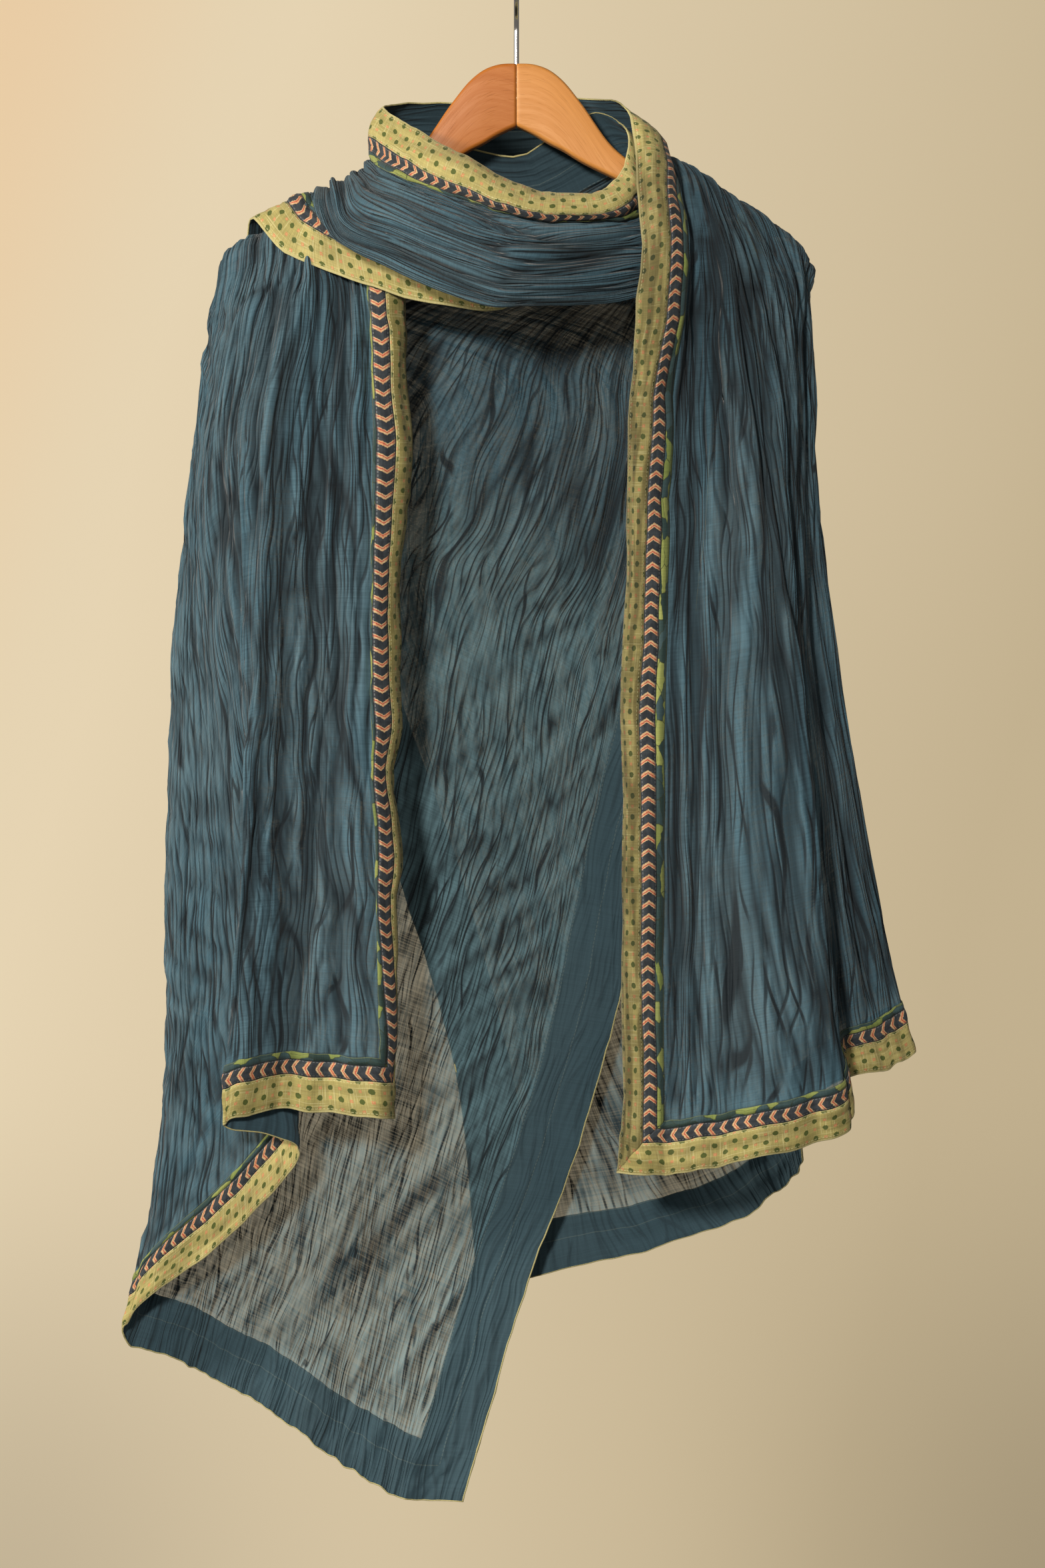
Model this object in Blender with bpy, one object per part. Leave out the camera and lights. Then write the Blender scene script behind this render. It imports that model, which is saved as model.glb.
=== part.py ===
"""Crinkled cotton dupatta wrapped once round a wooden clothes hanger: one cloth panel, a
three-strip border on each of its four sides, two hanger arms and a wire hook.

Sizes in the tables are millimetres from the top of the hanger: +X to the viewer's right,
+Y away from the viewer, +Z up. The finished objects are metres, with the origin at the
inside of the hook's crown.
"""

import math

import bmesh
import bpy
import numpy as np

for old in list(bpy.data.objects):
    bpy.data.objects.remove(old, do_unlink=True)

# ---------------------------------------------------------------- named sizes, mm
CROWN_RISE = 78.0  # hanger top up to the inside of the hook's crown

CLOTH_LENGTH = 2250.0
CLOTH_WIDTH = 740.0
CLOTH_THICK = 1.0
BORDER_GREEN = 27.0
BORDER_CHEVRON = 12.0
BORDER_LEAF = 6.0
BORDER = BORDER_GREEN + BORDER_CHEVRON + BORDER_LEAF
STRIP_THICK = 1.0
GAP = 0.4  # between the cloth's face and what is sewn on it
SEAM_GAP = 0.35  # between strips that meet edge to edge

# cells along the cloth between the two end borders, closer where it turns over an arm
RUNS = (
    # from, to, cells
    (45, 605, 6),
    (605, 680, 2),
    (680, 724, 6),
    (724, 790, 2),
    (790, 935, 2),
    (935, 995, 5),
    (995, 1100, 5),
    (1100, 1300, 4),
    (1300, 1375, 4),
    (1375, 1425, 5),
    (1425, 1560, 3),
    (1560, 1612, 3),
    (1612, 1655, 4),
    (1655, 2205, 6),
)
# grid lines across it between the two side borders, closer at the hems' turns and where the
# cowl turns under
LINES_WIDE = (45, 90, 130, 150, 168, 190, 212, 240, 270, 295, 330, 410, 505, 545, 575, 605,
              650, 695)

HANGER_SPAN = 424.0
HANGER_THICK = 14.0
HANGER_GAP = 0.3  # glue line at the centre
HANGER_CLEAR = 7.0  # kept between the arms and the cloth's middle surface
WIRE_R = 1.9
BORE_GAP = 0.3
HEAD_R = 4.0
HEAD_TOP, HEAD_LOW = -22.0, -25.0
CROOK_R = 20.0
CROOK_FROM, CROOK_TO = 215.0, -25.0  # degrees

# ---------------------------------------------------------------- the cloth's sections
# Each row cuts across the cloth, "t" mm from its left hem. The columns are the places the
# section passes, by name, from the front edge of the cloth to its outer edge. "across" is
# how far over the cloth each column lies.
COLUMNS = ("edge", "seam", "front", "fold", "tuck", "flank",
           "side", "back", "crease", "rear", "stitch", "outer")
ACROSS = (0, 45, 95, 150, 190, 235, 295, 405, 505, 605, 695, 740)
SECTIONS = (
    # t, edge, seam, front, fold, tuck, flank, side, back, crease, rear, stitch, outer
    (   0, (-103,-5,-788),(-101,-41,-788),(-172,-34,-781),(-214,-40,-794),(-163,-8,-812),(-203,6,-867),(-288,20,-938),(-253,54,-982),(-194,54,-1014),(-132,50,-1059),(-85,46,-1085),(-41,44,-1086)),
    ( 150, (-93,-9,-640),(-102,-44,-639),(-160,-44,-639),(-205,-42,-646),(-175,-12,-667),(-212,0,-718),(-261,18,-797),(-219,54,-843),(-153,56,-878),(-97,54,-909),(-42,48,-934),(3,44,-937)),
    ( 330, (-86,-12,-458),(-106,-42,-461),(-156,-46,-461),(-197,-44,-469),(-203,-20,-480),(-226,-4,-520),(-258,14,-600),(-199,54,-652),(-122,58,-693),(-46,56,-725),(16,50,-762),(62,44,-768)),
    ( 515, (-82,-11,-269),(-105,-36,-271),(-148,-42,-272),(-191,-38,-273),(-216,-24,-280),(-237,-6,-306),(-248,12,-359),(-178,52,-438),(-82,56,-489),(10,56,-535),(58,48,-570),(102,42,-581)),
    ( 605, (-83,-12,-181),(-109,-28,-181),(-140,-32,-180),(-174,-31,-182),(-203,-25,-191),(-221,-11,-205),(-235,6,-229),(-152,48,-322),(-61,52,-382),(28,52,-428),(81,46,-469),(124,40,-486)),
    ( 680, (-85,-15,-92),(-118,-17,-112),(-144,-17,-126),(-167,-17,-138),(-192,-16,-150),(-211,-10,-159),(-227,4,-172),(-141,46,-251),(-33,50,-322),(57,50,-359),(96,44,-396),(135,38,-416)),
    ( 702, (-81,0,-64),(-121,0,-87),(-144,0,-100),(-167,0,-112),(-188,0,-122),(-206,0,-132),(-221,4,-150),(-138,45,-223),(-24,49,-296),(65,49,-329),(102,43,-364),(139,37,-386)),
    ( 724, (-78,15,-68),(-109,17,-95),(-131,18,-107),(-151,19,-119),(-169,20,-129),(-183,20,-139),(-191,19,-153),(-118,44,-203),(-8,47,-264),(73,47,-294),(107,42,-327),(143,36,-348)),
    ( 790, (-45,26,-58),(-61,36,-98),(-81,38,-107),(-95,39,-113),(-107,40,-119),(-114,41,-128),(-106,42,-140),(-61,44,-167),(10,45,-201),(77,43,-228),(113,38,-240),(148,32,-269)),
    ( 870, (5,32,-62),(20,40,-102),(32,42,-108),(43,42,-113),(53,42,-118),(63,42,-123),(75,41,-129),(87,40,-136),(99,38,-142),(111,35,-147),(125,31,-154),(161,24,-181)),
    ( 935, (60,26,-32),(89,19,-73),(95,19,-77),(100,18,-81),(105,18,-85),(111,18,-89),(117,18,-93),(123,18,-97),(129,17,-102),(135,17,-106),(141,17,-110),(179,15,-140)),
    ( 965, (77,14,-39),(105,0,-77),(109,0,-79),(113,0,-81),(118,0,-84),(123,0,-87),(128,0,-90),(133,0,-93),(138,0,-96),(143,0,-99),(149,0,-102),(189,0,-121)),
    ( 995, (84,2,-50),(104,-15,-92),(108,-16,-95),(112,-16,-98),(116,-16,-101),(120,-16,-104),(125,-16,-107),(130,-16,-110),(135,-16,-113),(140,-16,-116),(146,-16,-120),(182,-18,-147)),
    (1045, (79,-24,-82),(92,-34,-118),(99,-38,-126),(102,-42,-133),(105,-44,-139),(107,-45,-145),(110,-45,-152),(114,-44,-159),(119,-40,-164),(126,-31,-164),(132,-20,-163),(147,-14,-203)),
    (1100, (61,-42,-101),(68,-50,-124),(74,-57,-134),(75,-60,-142),(76,-62,-150),(75,-63,-159),(75,-63,-170),(76,-61,-178),(76,-54,-184),(79,-38,-155),(83,-24,-146),(93,-20,-187)),
    (1160, (27,-52,-104),(21,-60,-125),(18,-84,-140),(16,-88,-149),(14,-91,-158),(12,-92,-167),(10,-92,-177),(9,-90,-186),(8,-82,-192),(10,-58,-156),(12,-42,-147),(16,-38,-189)),
    (1230, (-6,-52,-94),(-15,-60,-117),(-21,-83,-132),(-25,-88,-141),(-28,-91,-150),(-31,-92,-160),(-33,-92,-171),(-33,-90,-180),(-31,-82,-187),(-29,-58,-154),(-27,-44,-148),(-20,-42,-191)),
    (1300, (-51,-38,-68),(-65,-50,-98),(-74,-68,-110),(-79,-73,-119),(-84,-76,-127),(-88,-78,-135),(-90,-78,-145),(-92,-76,-153),(-91,-69,-160),(-90,-52,-137),(-89,-40,-133),(-85,-38,-177)),
    (1350, (-82,-16,-47),(-98,-38,-86),(-104,-45,-95),(-110,-49,-101),(-116,-52,-109),(-122,-54,-115),(-128,-55,-123),(-132,-54,-130),(-136,-50,-135),(-139,-37,-121),(-141,-26,-116),(-138,-31,-160)),
    (1375, (-92,-6,-39),(-104,-22,-79),(-110,-26,-86),(-116,-29,-90),(-122,-31,-96),(-128,-33,-100),(-133,-34,-104),(-139,-33,-108),(-146,-29,-111),(-149,-21,-108),(-151,-13,-105),(-172,-23,-143)),
    (1400, (-100,4,-32),(-109,-4,-72),(-116,-3,-77),(-122,-2,-80),(-127,-1,-82),(-132,0,-84),(-137,0,-87),(-142,1,-90),(-147,1,-93),(-151,1,-95),(-156,1,-97),(-196,-6,-117)),
    (1445, (-77,40,-23),(-92,48,-62),(-100,50,-72),(-107,50,-79),(-114,50,-87),(-121,50,-94),(-129,50,-102),(-137,50,-110),(-146,49,-118),(-156,47,-127),(-169,44,-135),(-202,38,-163)),
    (1500, (-20,50,-18),(-23,60,-60),(-19,62,-75),(-17,63,-86),(-21,64,-98),(-29,65,-111),(-47,66,-128),(-74,66,-148),(-102,66,-168),(-130,65,-187),(-155,62,-201),(-197,56,-220)),
    (1560, (45,44,-18),(61,52,-58),(85,51,-70),(104,50,-83),(120,50,-95),(132,51,-109),(134,55,-131),(94,64,-170),(29,68,-205),(-51,69,-235),(-139,66,-258),(-182,61,-275)),
    (1612, (85,4,-36),(110,-7,-69),(127,-4,-75),(142,-3,-84),(159,-2,-95),(184,-2,-112),(218,5,-144),(151,58,-209),(61,67,-256),(-41,71,-292),(-129,68,-311),(-172,63,-326)),
    (1655, (90,-58,-110),(122,-58,-114),(138,-50,-115),(156,-38,-119),(175,-29,-128),(199,-18,-142),(217,5,-165),(155,62,-249),(57,70,-309),(-47,72,-347),(-119,70,-368),(-161,64,-381)),
    (1790, (86,-55,-255),(116,-60,-256),(147,-58,-250),(185,-48,-243),(201,-34,-239),(212,-18,-240),(219,6,-246),(161,62,-341),(72,71,-402),(-26,73,-446),(-88,70,-477),(-131,64,-489)),
    (1950, (81,-34,-433),(111,-50,-434),(149,-58,-428),(208,-49,-414),(212,-29,-404),(220,-10,-395),(229,11,-391),(175,60,-469),(100,70,-528),(14,73,-581),(-42,69,-610),(-86,62,-620)),
    (2110, (76,-31,-688),(108,-47,-688),(155,-60,-681),(234,-50,-660),(228,-24,-641),(250,-6,-623),(267,11,-612),(209,50,-670),(182,64,-726),(90,71,-775),(1,68,-785),(-45,60,-770)),
    (2250, (71,-34,-828),(108,-46,-828),(162,-60,-818),(250,-50,-793),(244,-20,-761),(274,-4,-756),(301,12,-739),(211,34,-789),(215,56,-835),(152,66,-880),(15,68,-917),(-30,60,-929)),
)

# Soft folds laid over the sections. "across" and "half" are the fold's middle and half
# width over the cloth, "start" and "end" where it runs along it, "rise" how far it stands
# out of the right side (a trough is negative).
FOLDS = (
    # name,              across, half, start, end, rise
    ("left_front_1",        96, 26,   20,  640,  -7.0),
    ("left_front_2",       140, 24,   10,  600,   5.0),
    ("left_side_1",        300, 34,    0,  520,   6.0),
    ("left_side_2",        372, 30,   40,  560,  -5.0),
    ("left_back_1",        450, 34,   60,  700,   6.0),
    ("left_back_2",        540, 36,   20,  680,  -6.0),
    ("left_back_3",        625, 30,  200,  760,   5.0),
    ("loop_1",             140, 44,  780, 1540,   1.6),
    ("loop_2",             225, 44,  780, 1540,  -1.6),
    ("loop_3",             310, 44,  780, 1540,   1.6),
    ("loop_4",             400, 44,  780, 1540,  -1.6),
    ("right_border_trough", 80, 22, 1640, 2190,  -8.0),
    ("right_front_1",      128, 24, 1650, 2250,   5.0),
    ("right_front_2",      158, 20, 1700, 2240,  -4.0),
    ("right_side_1",       300, 34, 1640, 2200,   5.0),
    ("right_back_1",       400, 36, 1580, 2120,  -6.0),
    ("right_back_2",       480, 34, 1560, 2150,   6.0),
    ("right_back_3",       570, 34, 1600, 2200,  -5.0),
)

HANGER = (
    # x, top, low, half of the thickness there
    (0, 0, -47, 7.0),
    (15, -1, -54, 7.0),
    (25, -5, -60, 7.0),
    (35, -13, -65, 7.0),
    (48, -29, -73, 7.0),
    (70, -60, -84, 7.0),
    (100, -82, -98, 7.0),
    (140, -104, -118, 7.0),
    (180, -124, -138, 7.0),
    (202, -139, -152, 6.6),
    (209, -146, -156, 5.0),
    (212, -150, -155, 2.6),
)


def unit(a):
    return a / (np.linalg.norm(a, axis=-1, keepdims=True) + 1e-12)


def through(points, knots, at):
    """The smooth curve through points, one at each knot, read off at these places."""
    points, knots, at = np.asarray(points, float), np.asarray(knots, float), np.asarray(at, float)
    shape = (-1,) + (1,) * (points.ndim - 1)
    step = np.diff(knots).reshape(shape)
    slope = (points[1:] - points[:-1]) / step
    tangent = np.empty_like(points)
    tangent[1:-1] = (slope[:-1] * step[1:] + slope[1:] * step[:-1]) / (step[1:] + step[:-1])
    tangent[0] = slope[0] * 1.5 - tangent[1] * 0.5
    tangent[-1] = slope[-1] * 1.5 - tangent[-2] * 0.5
    i = np.clip(np.searchsorted(knots, at, "right") - 1, 0, len(points) - 2)
    s = ((at - knots[i]) / np.diff(knots)[i]).reshape(shape)
    h = step[i]
    return (points[i] * (2 * s**3 - 3 * s**2 + 1) + points[i + 1] * (3 * s**2 - 2 * s**3)
            + tangent[i] * h * (s**3 - 2 * s**2 + s) + tangent[i + 1] * h * (s**3 - s**2))


def border_bow(outer, inner, along, s, side):
    """Across a border, from the cloth's edge (s = 0) to the border's seam (s = 1). Where they
    hang nearer than the border is wide, it bows to the right side and keeps its width."""
    chord = inner - outer
    span = np.linalg.norm(chord, axis=1, keepdims=True)
    bow = span * np.sqrt(np.maximum(0.375 * (BORDER / span - 1), 0))
    out = unit(np.cross(along, chord)) * side
    s = s[None, :, None]
    return outer[:, None] + chord[:, None] * s + (out * bow)[:, None] * 4 * s * (1 - s)


def fold_rise(t, v):
    """How far the soft folds lift the cloth, as a grid over t and v."""
    lift = np.zeros((len(t), len(v)))
    for _, across, half, start, end, rise in FOLDS:
        over = np.clip(1 - np.abs(v - across) / (1.6 * half), 0, 1)
        over = over * over * (3 - 2 * over)
        ends = np.clip((t - start) / 90 + 0.35, 0, 1) * np.clip((end - t) / 90 + 0.35, 0, 1)
        lift += rise * ends[:, None] * over[None, :]
    return lift


def arm_line(x):
    """Middle height, half height of the hanger's arm at x."""
    table = np.array([(row[0], row[1], row[2]) for row in HANGER], float)
    x = np.abs(x)
    top, low = np.interp(x, table[:, 0], table[:, 1]), np.interp(x, table[:, 0], table[:, 2])
    return (top + low) / 2, (top - low) / 2


def clear_of_hanger(points):
    """Moves the cloth out to a rounded sleeve around the arms where it would come too near."""
    x, y, z = points[..., 0], points[..., 1], points[..., 2]
    middle, half = arm_line(x)
    reach_y, reach_z = HANGER_THICK / 2 + HANGER_CLEAR, half + HANGER_CLEAR
    past = np.maximum(np.abs(x) - (HANGER_SPAN / 2 - 15), 0) / (15 + HANGER_CLEAR)
    near = (np.abs(y / reach_y) ** 4 + np.abs((z - middle) / reach_z) ** 4 + past**4) ** 0.25
    grow = np.where(near < 1, 1 / np.maximum(near, 0.3), 1.0)
    out = points.copy()
    out[..., 1] = y * grow
    out[..., 2] = middle + (z - middle) * grow
    return out


def cloth_surface(t, v):
    """The cloth's middle surface at each of t (along) by each of v (across)."""
    t, v = np.asarray(t, float), np.asarray(v, float)
    along = np.array([row[0] for row in SECTIONS], float)
    named = np.array([row[1:] for row in SECTIONS], float)
    across = np.array(ACROSS, float)
    anchors = through(named, along, t)
    run = np.gradient(anchors, axis=0)
    between = np.clip(v, BORDER, CLOTH_WIDTH - BORDER)
    columns = np.swapaxes(through(np.swapaxes(named, 0, 1)[1:-1], across[1:-1], between), 0, 1)
    points = through(columns, along, t)
    front, outer = v <= BORDER, v >= CLOTH_WIDTH - BORDER
    points[:, front] = border_bow(anchors[:, 0], anchors[:, 1], run[:, 0] + run[:, 1],
                                  v[front] / BORDER, 1)
    points[:, outer] = border_bow(anchors[:, -1], anchors[:, -2], run[:, -1] + run[:, -2],
                                  (CLOTH_WIDTH - v[outer]) / BORDER, -1)
    # normals from fine differences, then the soft folds
    out = unit(np.cross(np.gradient(points, axis=0), np.gradient(points, axis=1)))
    points = points + out * fold_rise(t, v)[..., None]
    return clear_of_hanger(points)


# ---------------------------------------------------------------- the cloth's own grid
ends = [0.0, BORDER_GREEN, BORDER_GREEN + BORDER_CHEVRON]
T_LINES = list(ends)
for start, stop, cells in RUNS:
    T_LINES += list(np.linspace(start, stop, cells, endpoint=False))
T_LINES = np.array(T_LINES + [CLOTH_LENGTH - BORDER] + [CLOTH_LENGTH - e for e in reversed(ends)])
V_LINES = np.array(ends + list(LINES_WIDE) + [CLOTH_WIDTH - e for e in reversed(ends)])
FINE = 6  # the surface is worked out this much finer, so its normals are true


def finer(lines):
    return np.interp(np.arange((len(lines) - 1) * FINE + 1) / FINE, np.arange(len(lines)), lines)


GRID = cloth_surface(finer(T_LINES), finer(V_LINES))[::FINE, ::FINE]
ROWS, COLS = len(T_LINES), len(V_LINES)


def falls(i, j):
    """True where a cell's diagonal runs from its low-t, low-v corner: along the mitre at the
    cloth's corners, the shorter way elsewhere."""
    low_t, low_v = i < ROWS / 2, j < COLS / 2
    if min(i, ROWS - 2 - i) < 3 and min(j, COLS - 2 - j) < 3:
        return low_t == low_v
    down = GRID[i + 1, j + 1] - GRID[i, j]
    up = GRID[i + 1, j] - GRID[i, j + 1]
    return float(down @ down) < float(up @ up)


def cell_triangles(i, j):
    a, b, c, d = (i, j), (i + 1, j), (i + 1, j + 1), (i, j + 1)
    return ((a, b, c), (a, c, d)) if falls(i, j) else ((a, b, d), (b, c, d))


def grid_offsets():
    """At each grid point the direction out of the right side, lengthened at a sharp fold so
    that an offset face keeps its distance."""
    total = np.zeros_like(GRID)
    faces = []
    for i in range(ROWS - 1):
        for j in range(COLS - 1):
            for tri in cell_triangles(i, j):
                p, q, r = (GRID[k] for k in tri)
                n = unit(np.cross(q - p, r - p))
                faces.append((tri, n))
                for k in range(3):
                    here, one, two = tri[k], tri[(k + 1) % 3], tri[(k + 2) % 3]
                    a, b = unit(GRID[one] - GRID[here]), unit(GRID[two] - GRID[here])
                    total[here] += n * math.acos(max(-1.0, min(1.0, float(a @ b))))
    out = unit(total)
    worst = np.ones((ROWS, COLS))
    for tri, n in faces:
        for k in tri:
            worst[k] = min(worst[k], float(n @ out[k]))
    return out / np.clip(worst, 0.62, 1.0)[..., None]


OUT = grid_offsets()


def at(t, v, offset):
    """A point offset mm out from the cloth's middle surface, on the same flat cells."""
    i = min(max(int(np.searchsorted(T_LINES, t, "right")) - 1, 0), ROWS - 2)
    j = min(max(int(np.searchsorted(V_LINES, v, "right")) - 1, 0), COLS - 2)
    a = (t - T_LINES[i]) / (T_LINES[i + 1] - T_LINES[i])
    b = (v - V_LINES[j]) / (V_LINES[j + 1] - V_LINES[j])
    point = np.zeros(3)
    for di, wi in ((0, 1 - a), (1, a)):
        for dj, wj in ((0, 1 - b), (1, b)):
            if wi * wj:
                point += wi * wj * (GRID[i + di, j + dj] + OUT[i + di, j + dj] * offset)
    return point


# ---------------------------------------------------------------- making objects
def material(name, colour, rough, metallic=0.0):
    made = bpy.data.materials.new(name)
    made.use_nodes = True
    shader = made.node_tree.nodes["Principled BSDF"]
    shader.inputs["Base Color"].default_value = (*colour, 1.0)
    shader.inputs["Roughness"].default_value = rough
    shader.inputs["Metallic"].default_value = metallic
    made.diffuse_color = (*colour, 1.0)
    return made


BLUE = material("blue_cotton", (0.045, 0.105, 0.150), 0.85)
GREEN = material("dotted_cotton", (0.430, 0.420, 0.150), 0.85)
NAVY = material("chevron_cotton", (0.050, 0.060, 0.110), 0.85)
LEAF = material("leaf_cotton", (0.110, 0.210, 0.110), 0.85)
WOOD = material("varnished_wood", (0.520, 0.230, 0.070), 0.35)
CHROME = material("chrome_wire", (0.700, 0.700, 0.710), 0.15, 1.0)


def to_row(points):
    """Hanger-top millimetres to metres from the inside of the hook's crown."""
    return (np.asarray(points, float) - (0.0, 0.0, CROWN_RISE)) * 0.001


def new_object(name, points, faces, look):
    mesh = bpy.data.meshes.new(name)
    mesh.from_pydata([tuple(p) for p in to_row(points)], [], faces)
    mesh.materials.append(look)
    mesh.validate()
    made = bpy.data.objects.new(name, mesh)
    bpy.context.scene.collection.objects.link(made)
    return made


def slab(name, cells, low, high, look):
    """A closed sheet from triangles or quads given as (t, v) corners, facing the right side,
    from low to high mm out of the cloth's middle surface."""
    index, points, faces, edges = {}, [], [], {}

    def number(t, v):
        key = (round(t, 3), round(v, 3))
        if key not in index:
            index[key] = len(points) // 2
            points.append(at(t, v, high))
            points.append(at(t, v, low))
        return index[key]

    for corners in cells:
        ring = []
        for corner in corners:
            k = number(*corner)
            if k not in ring:
                ring.append(k)
        if len(ring) < 3:
            continue
        for n in range(1, len(ring) - 1):
            a, b, c = ring[0], ring[n], ring[n + 1]
            faces.append((2 * a, 2 * b, 2 * c))
            faces.append((2 * c + 1, 2 * b + 1, 2 * a + 1))
        for a, b in zip(ring, ring[1:] + ring[:1]):
            if (b, a) in edges:
                del edges[(b, a)]
            else:
                edges[(a, b)] = True
    where = {k: t + v for (t, v), k in index.items()}
    for a, b in edges:
        # both sides of a seam take the same diagonal, so they stay parallel
        if where[a] < where[b]:
            faces += [(2 * a, 2 * a + 1, 2 * b + 1), (2 * a, 2 * b + 1, 2 * b)]
        else:
            faces += [(2 * a, 2 * a + 1, 2 * b), (2 * a + 1, 2 * b + 1, 2 * b)]
    return new_object(name, points, faces, look)


cloth_cells = []
for i in range(ROWS - 1):
    for j in range(COLS - 1):
        for tri in cell_triangles(i, j):
            cloth_cells.append([(T_LINES[a], V_LINES[b]) for a, b in tri])
cloth = slab("cloth", cloth_cells, -CLOTH_THICK / 2, CLOTH_THICK / 2, BLUE)

# ---------------------------------------------------------------- the borders
BANDS = (
    # name, from, to (mm in from the cloth's edge), look
    ("border", 0.0, BORDER_GREEN, GREEN),
    ("chevron", BORDER_GREEN, BORDER_GREEN + BORDER_CHEVRON, NAVY),
    ("leaf", BORDER_GREEN + BORDER_CHEVRON, BORDER, LEAF),
)


def band_cells(start, stop, side):
    """Cells of one strip. It is mitred where it meets the strips of the next sides."""
    lines = [start, stop]
    half = SEAM_GAP / 2
    inset = [start + (half if start else 0.0), stop - half]
    long_side = side in ("front_edge", "outer_edge")
    runs = T_LINES if long_side else V_LINES
    full = CLOTH_LENGTH if long_side else CLOTH_WIDTH
    far = side in ("outer_edge", "right_hem")
    across = CLOTH_WIDTH if long_side else CLOTH_LENGTH

    def corner(run, depth):
        run = min(max(run, depth + half * 1.5), full - depth - half * 1.5)
        deep = across - depth if far else depth
        return (run, deep) if long_side else (deep, run)

    cells = []
    for k in range(len(runs) - 1):
        for n in range(len(lines) - 1):
            ring = [corner(runs[k], inset[n]), corner(runs[k + 1], inset[n]),
                    corner(runs[k + 1], inset[n + 1]), corner(runs[k], inset[n + 1])]
            if far == long_side:
                ring.reverse()
            # split along the diagonal that the cloth's own cell uses
            middle = [sum(c[0] for c in ring) / 4, sum(c[1] for c in ring) / 4]
            i = min(max(int(np.searchsorted(T_LINES, middle[0], "right")) - 1, 0), ROWS - 2)
            j = min(max(int(np.searchsorted(V_LINES, middle[1], "right")) - 1, 0), COLS - 2)
            low = min(range(4), key=lambda c: ring[c][0] + ring[c][1])
            ring = ring[low:] + ring[:low]
            if falls(i, j):
                cells += [[ring[0], ring[1], ring[2]], [ring[0], ring[2], ring[3]]]
            else:
                cells += [[ring[0], ring[1], ring[3]], [ring[1], ring[2], ring[3]]]
    return cells


LOW = CLOTH_THICK / 2 + GAP
for side in ("front_edge", "outer_edge", "left_hem", "right_hem"):
    for name, start, stop, look in BANDS:
        slab(f"{name}_{side}", band_cells(start, stop, side), LOW, LOW + STRIP_THICK, look)


# ---------------------------------------------------------------- the hanger
def rounded_ring(half_y, half_z, middle, corner=2.4):
    """A rounded rectangle in Y and Z, eight points."""
    r = min(corner, half_y * 0.7, half_z * 0.7)
    return [(y, middle + z) for y, z in (
        (half_y, -half_z + r), (half_y, half_z - r), (half_y - r, half_z), (-half_y + r, half_z),
        (-half_y, half_z - r), (-half_y, -half_z + r), (-half_y + r, -half_z), (half_y - r, -half_z))]


def arm(name, sign):
    table = np.array(HANGER, float)
    stations = [0.0, 8.0, 15.0, 20.0, 25.0, 30.0, 35.0, 41.0, 48.0, 58.0, 70.0, 84.0, 100.0,
                120.0, 140.0, 160.0, 180.0, 192.0, 202.0, 209.0, 212.0]
    # the hump is round, so its height is read from a smooth curve; the rest is as tabled
    read = through(table[:, 1:], table[:, 0], stations)
    points, faces = [], []
    for x, (top, low, half_y) in zip(stations, read):
        at_x = max(x, HANGER_GAP / 2)
        for y, z in rounded_ring(half_y, (top - low) / 2, (top + low) / 2):
            points.append((sign * at_x, y, z))
    n = 8
    for s in range(len(stations) - 1):
        for k in range(n):
            a, b = s * n + k, s * n + (k + 1) % n
            faces.append((a, b, b + n, a + n))
    faces.append(tuple(range(n))[::-1])
    last = (len(stations) - 1) * n
    faces.append(tuple(range(last, last + n)))
    if sign < 0:
        faces = [f[::-1] for f in faces]
    made = new_object(name, points, faces, WOOD)
    mesh = bmesh.new()
    mesh.from_mesh(made.data)
    bmesh.ops.recalc_face_normals(mesh, faces=mesh.faces)
    mesh.to_mesh(made.data)
    mesh.free()
    return made


def turned(name, profile, sides=32):
    """A closed solid turned about the hook's shank from (radius, height) rows."""
    points, faces = [], []
    for r, z in profile:
        for k in range(sides):
            angle = 2 * math.pi * (k + 0.5) / sides
            points.append((r * math.cos(angle), r * math.sin(angle), z))
    for s in range(len(profile) - 1):
        for k in range(sides):
            a, b = s * sides + k, s * sides + (k + 1) % sides
            faces.append((a, b, b + sides, a + sides))
    faces.append(tuple(range(sides))[::-1])
    last = (len(profile) - 1) * sides
    faces.append(tuple(range(last, last + sides)))
    return new_object(name, points, faces, WOOD)


left, right = arm("hanger_left", -1), arm("hanger_right", 1)
bore = turned("bore_cutter", [
    (HEAD_R + BORE_GAP, HEAD_LOW - BORE_GAP), (HEAD_R + BORE_GAP, HEAD_TOP + BORE_GAP),
    (WIRE_R + BORE_GAP, HEAD_TOP + BORE_GAP + 0.01), (WIRE_R + BORE_GAP, 12.0)])
for half in (left, right):
    cut = half.modifiers.new("hook_bore", "BOOLEAN")
    cut.operation, cut.solver, cut.object = "DIFFERENCE", "EXACT", bore
bore.hide_render = True
bore.hide_set(True)


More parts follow.
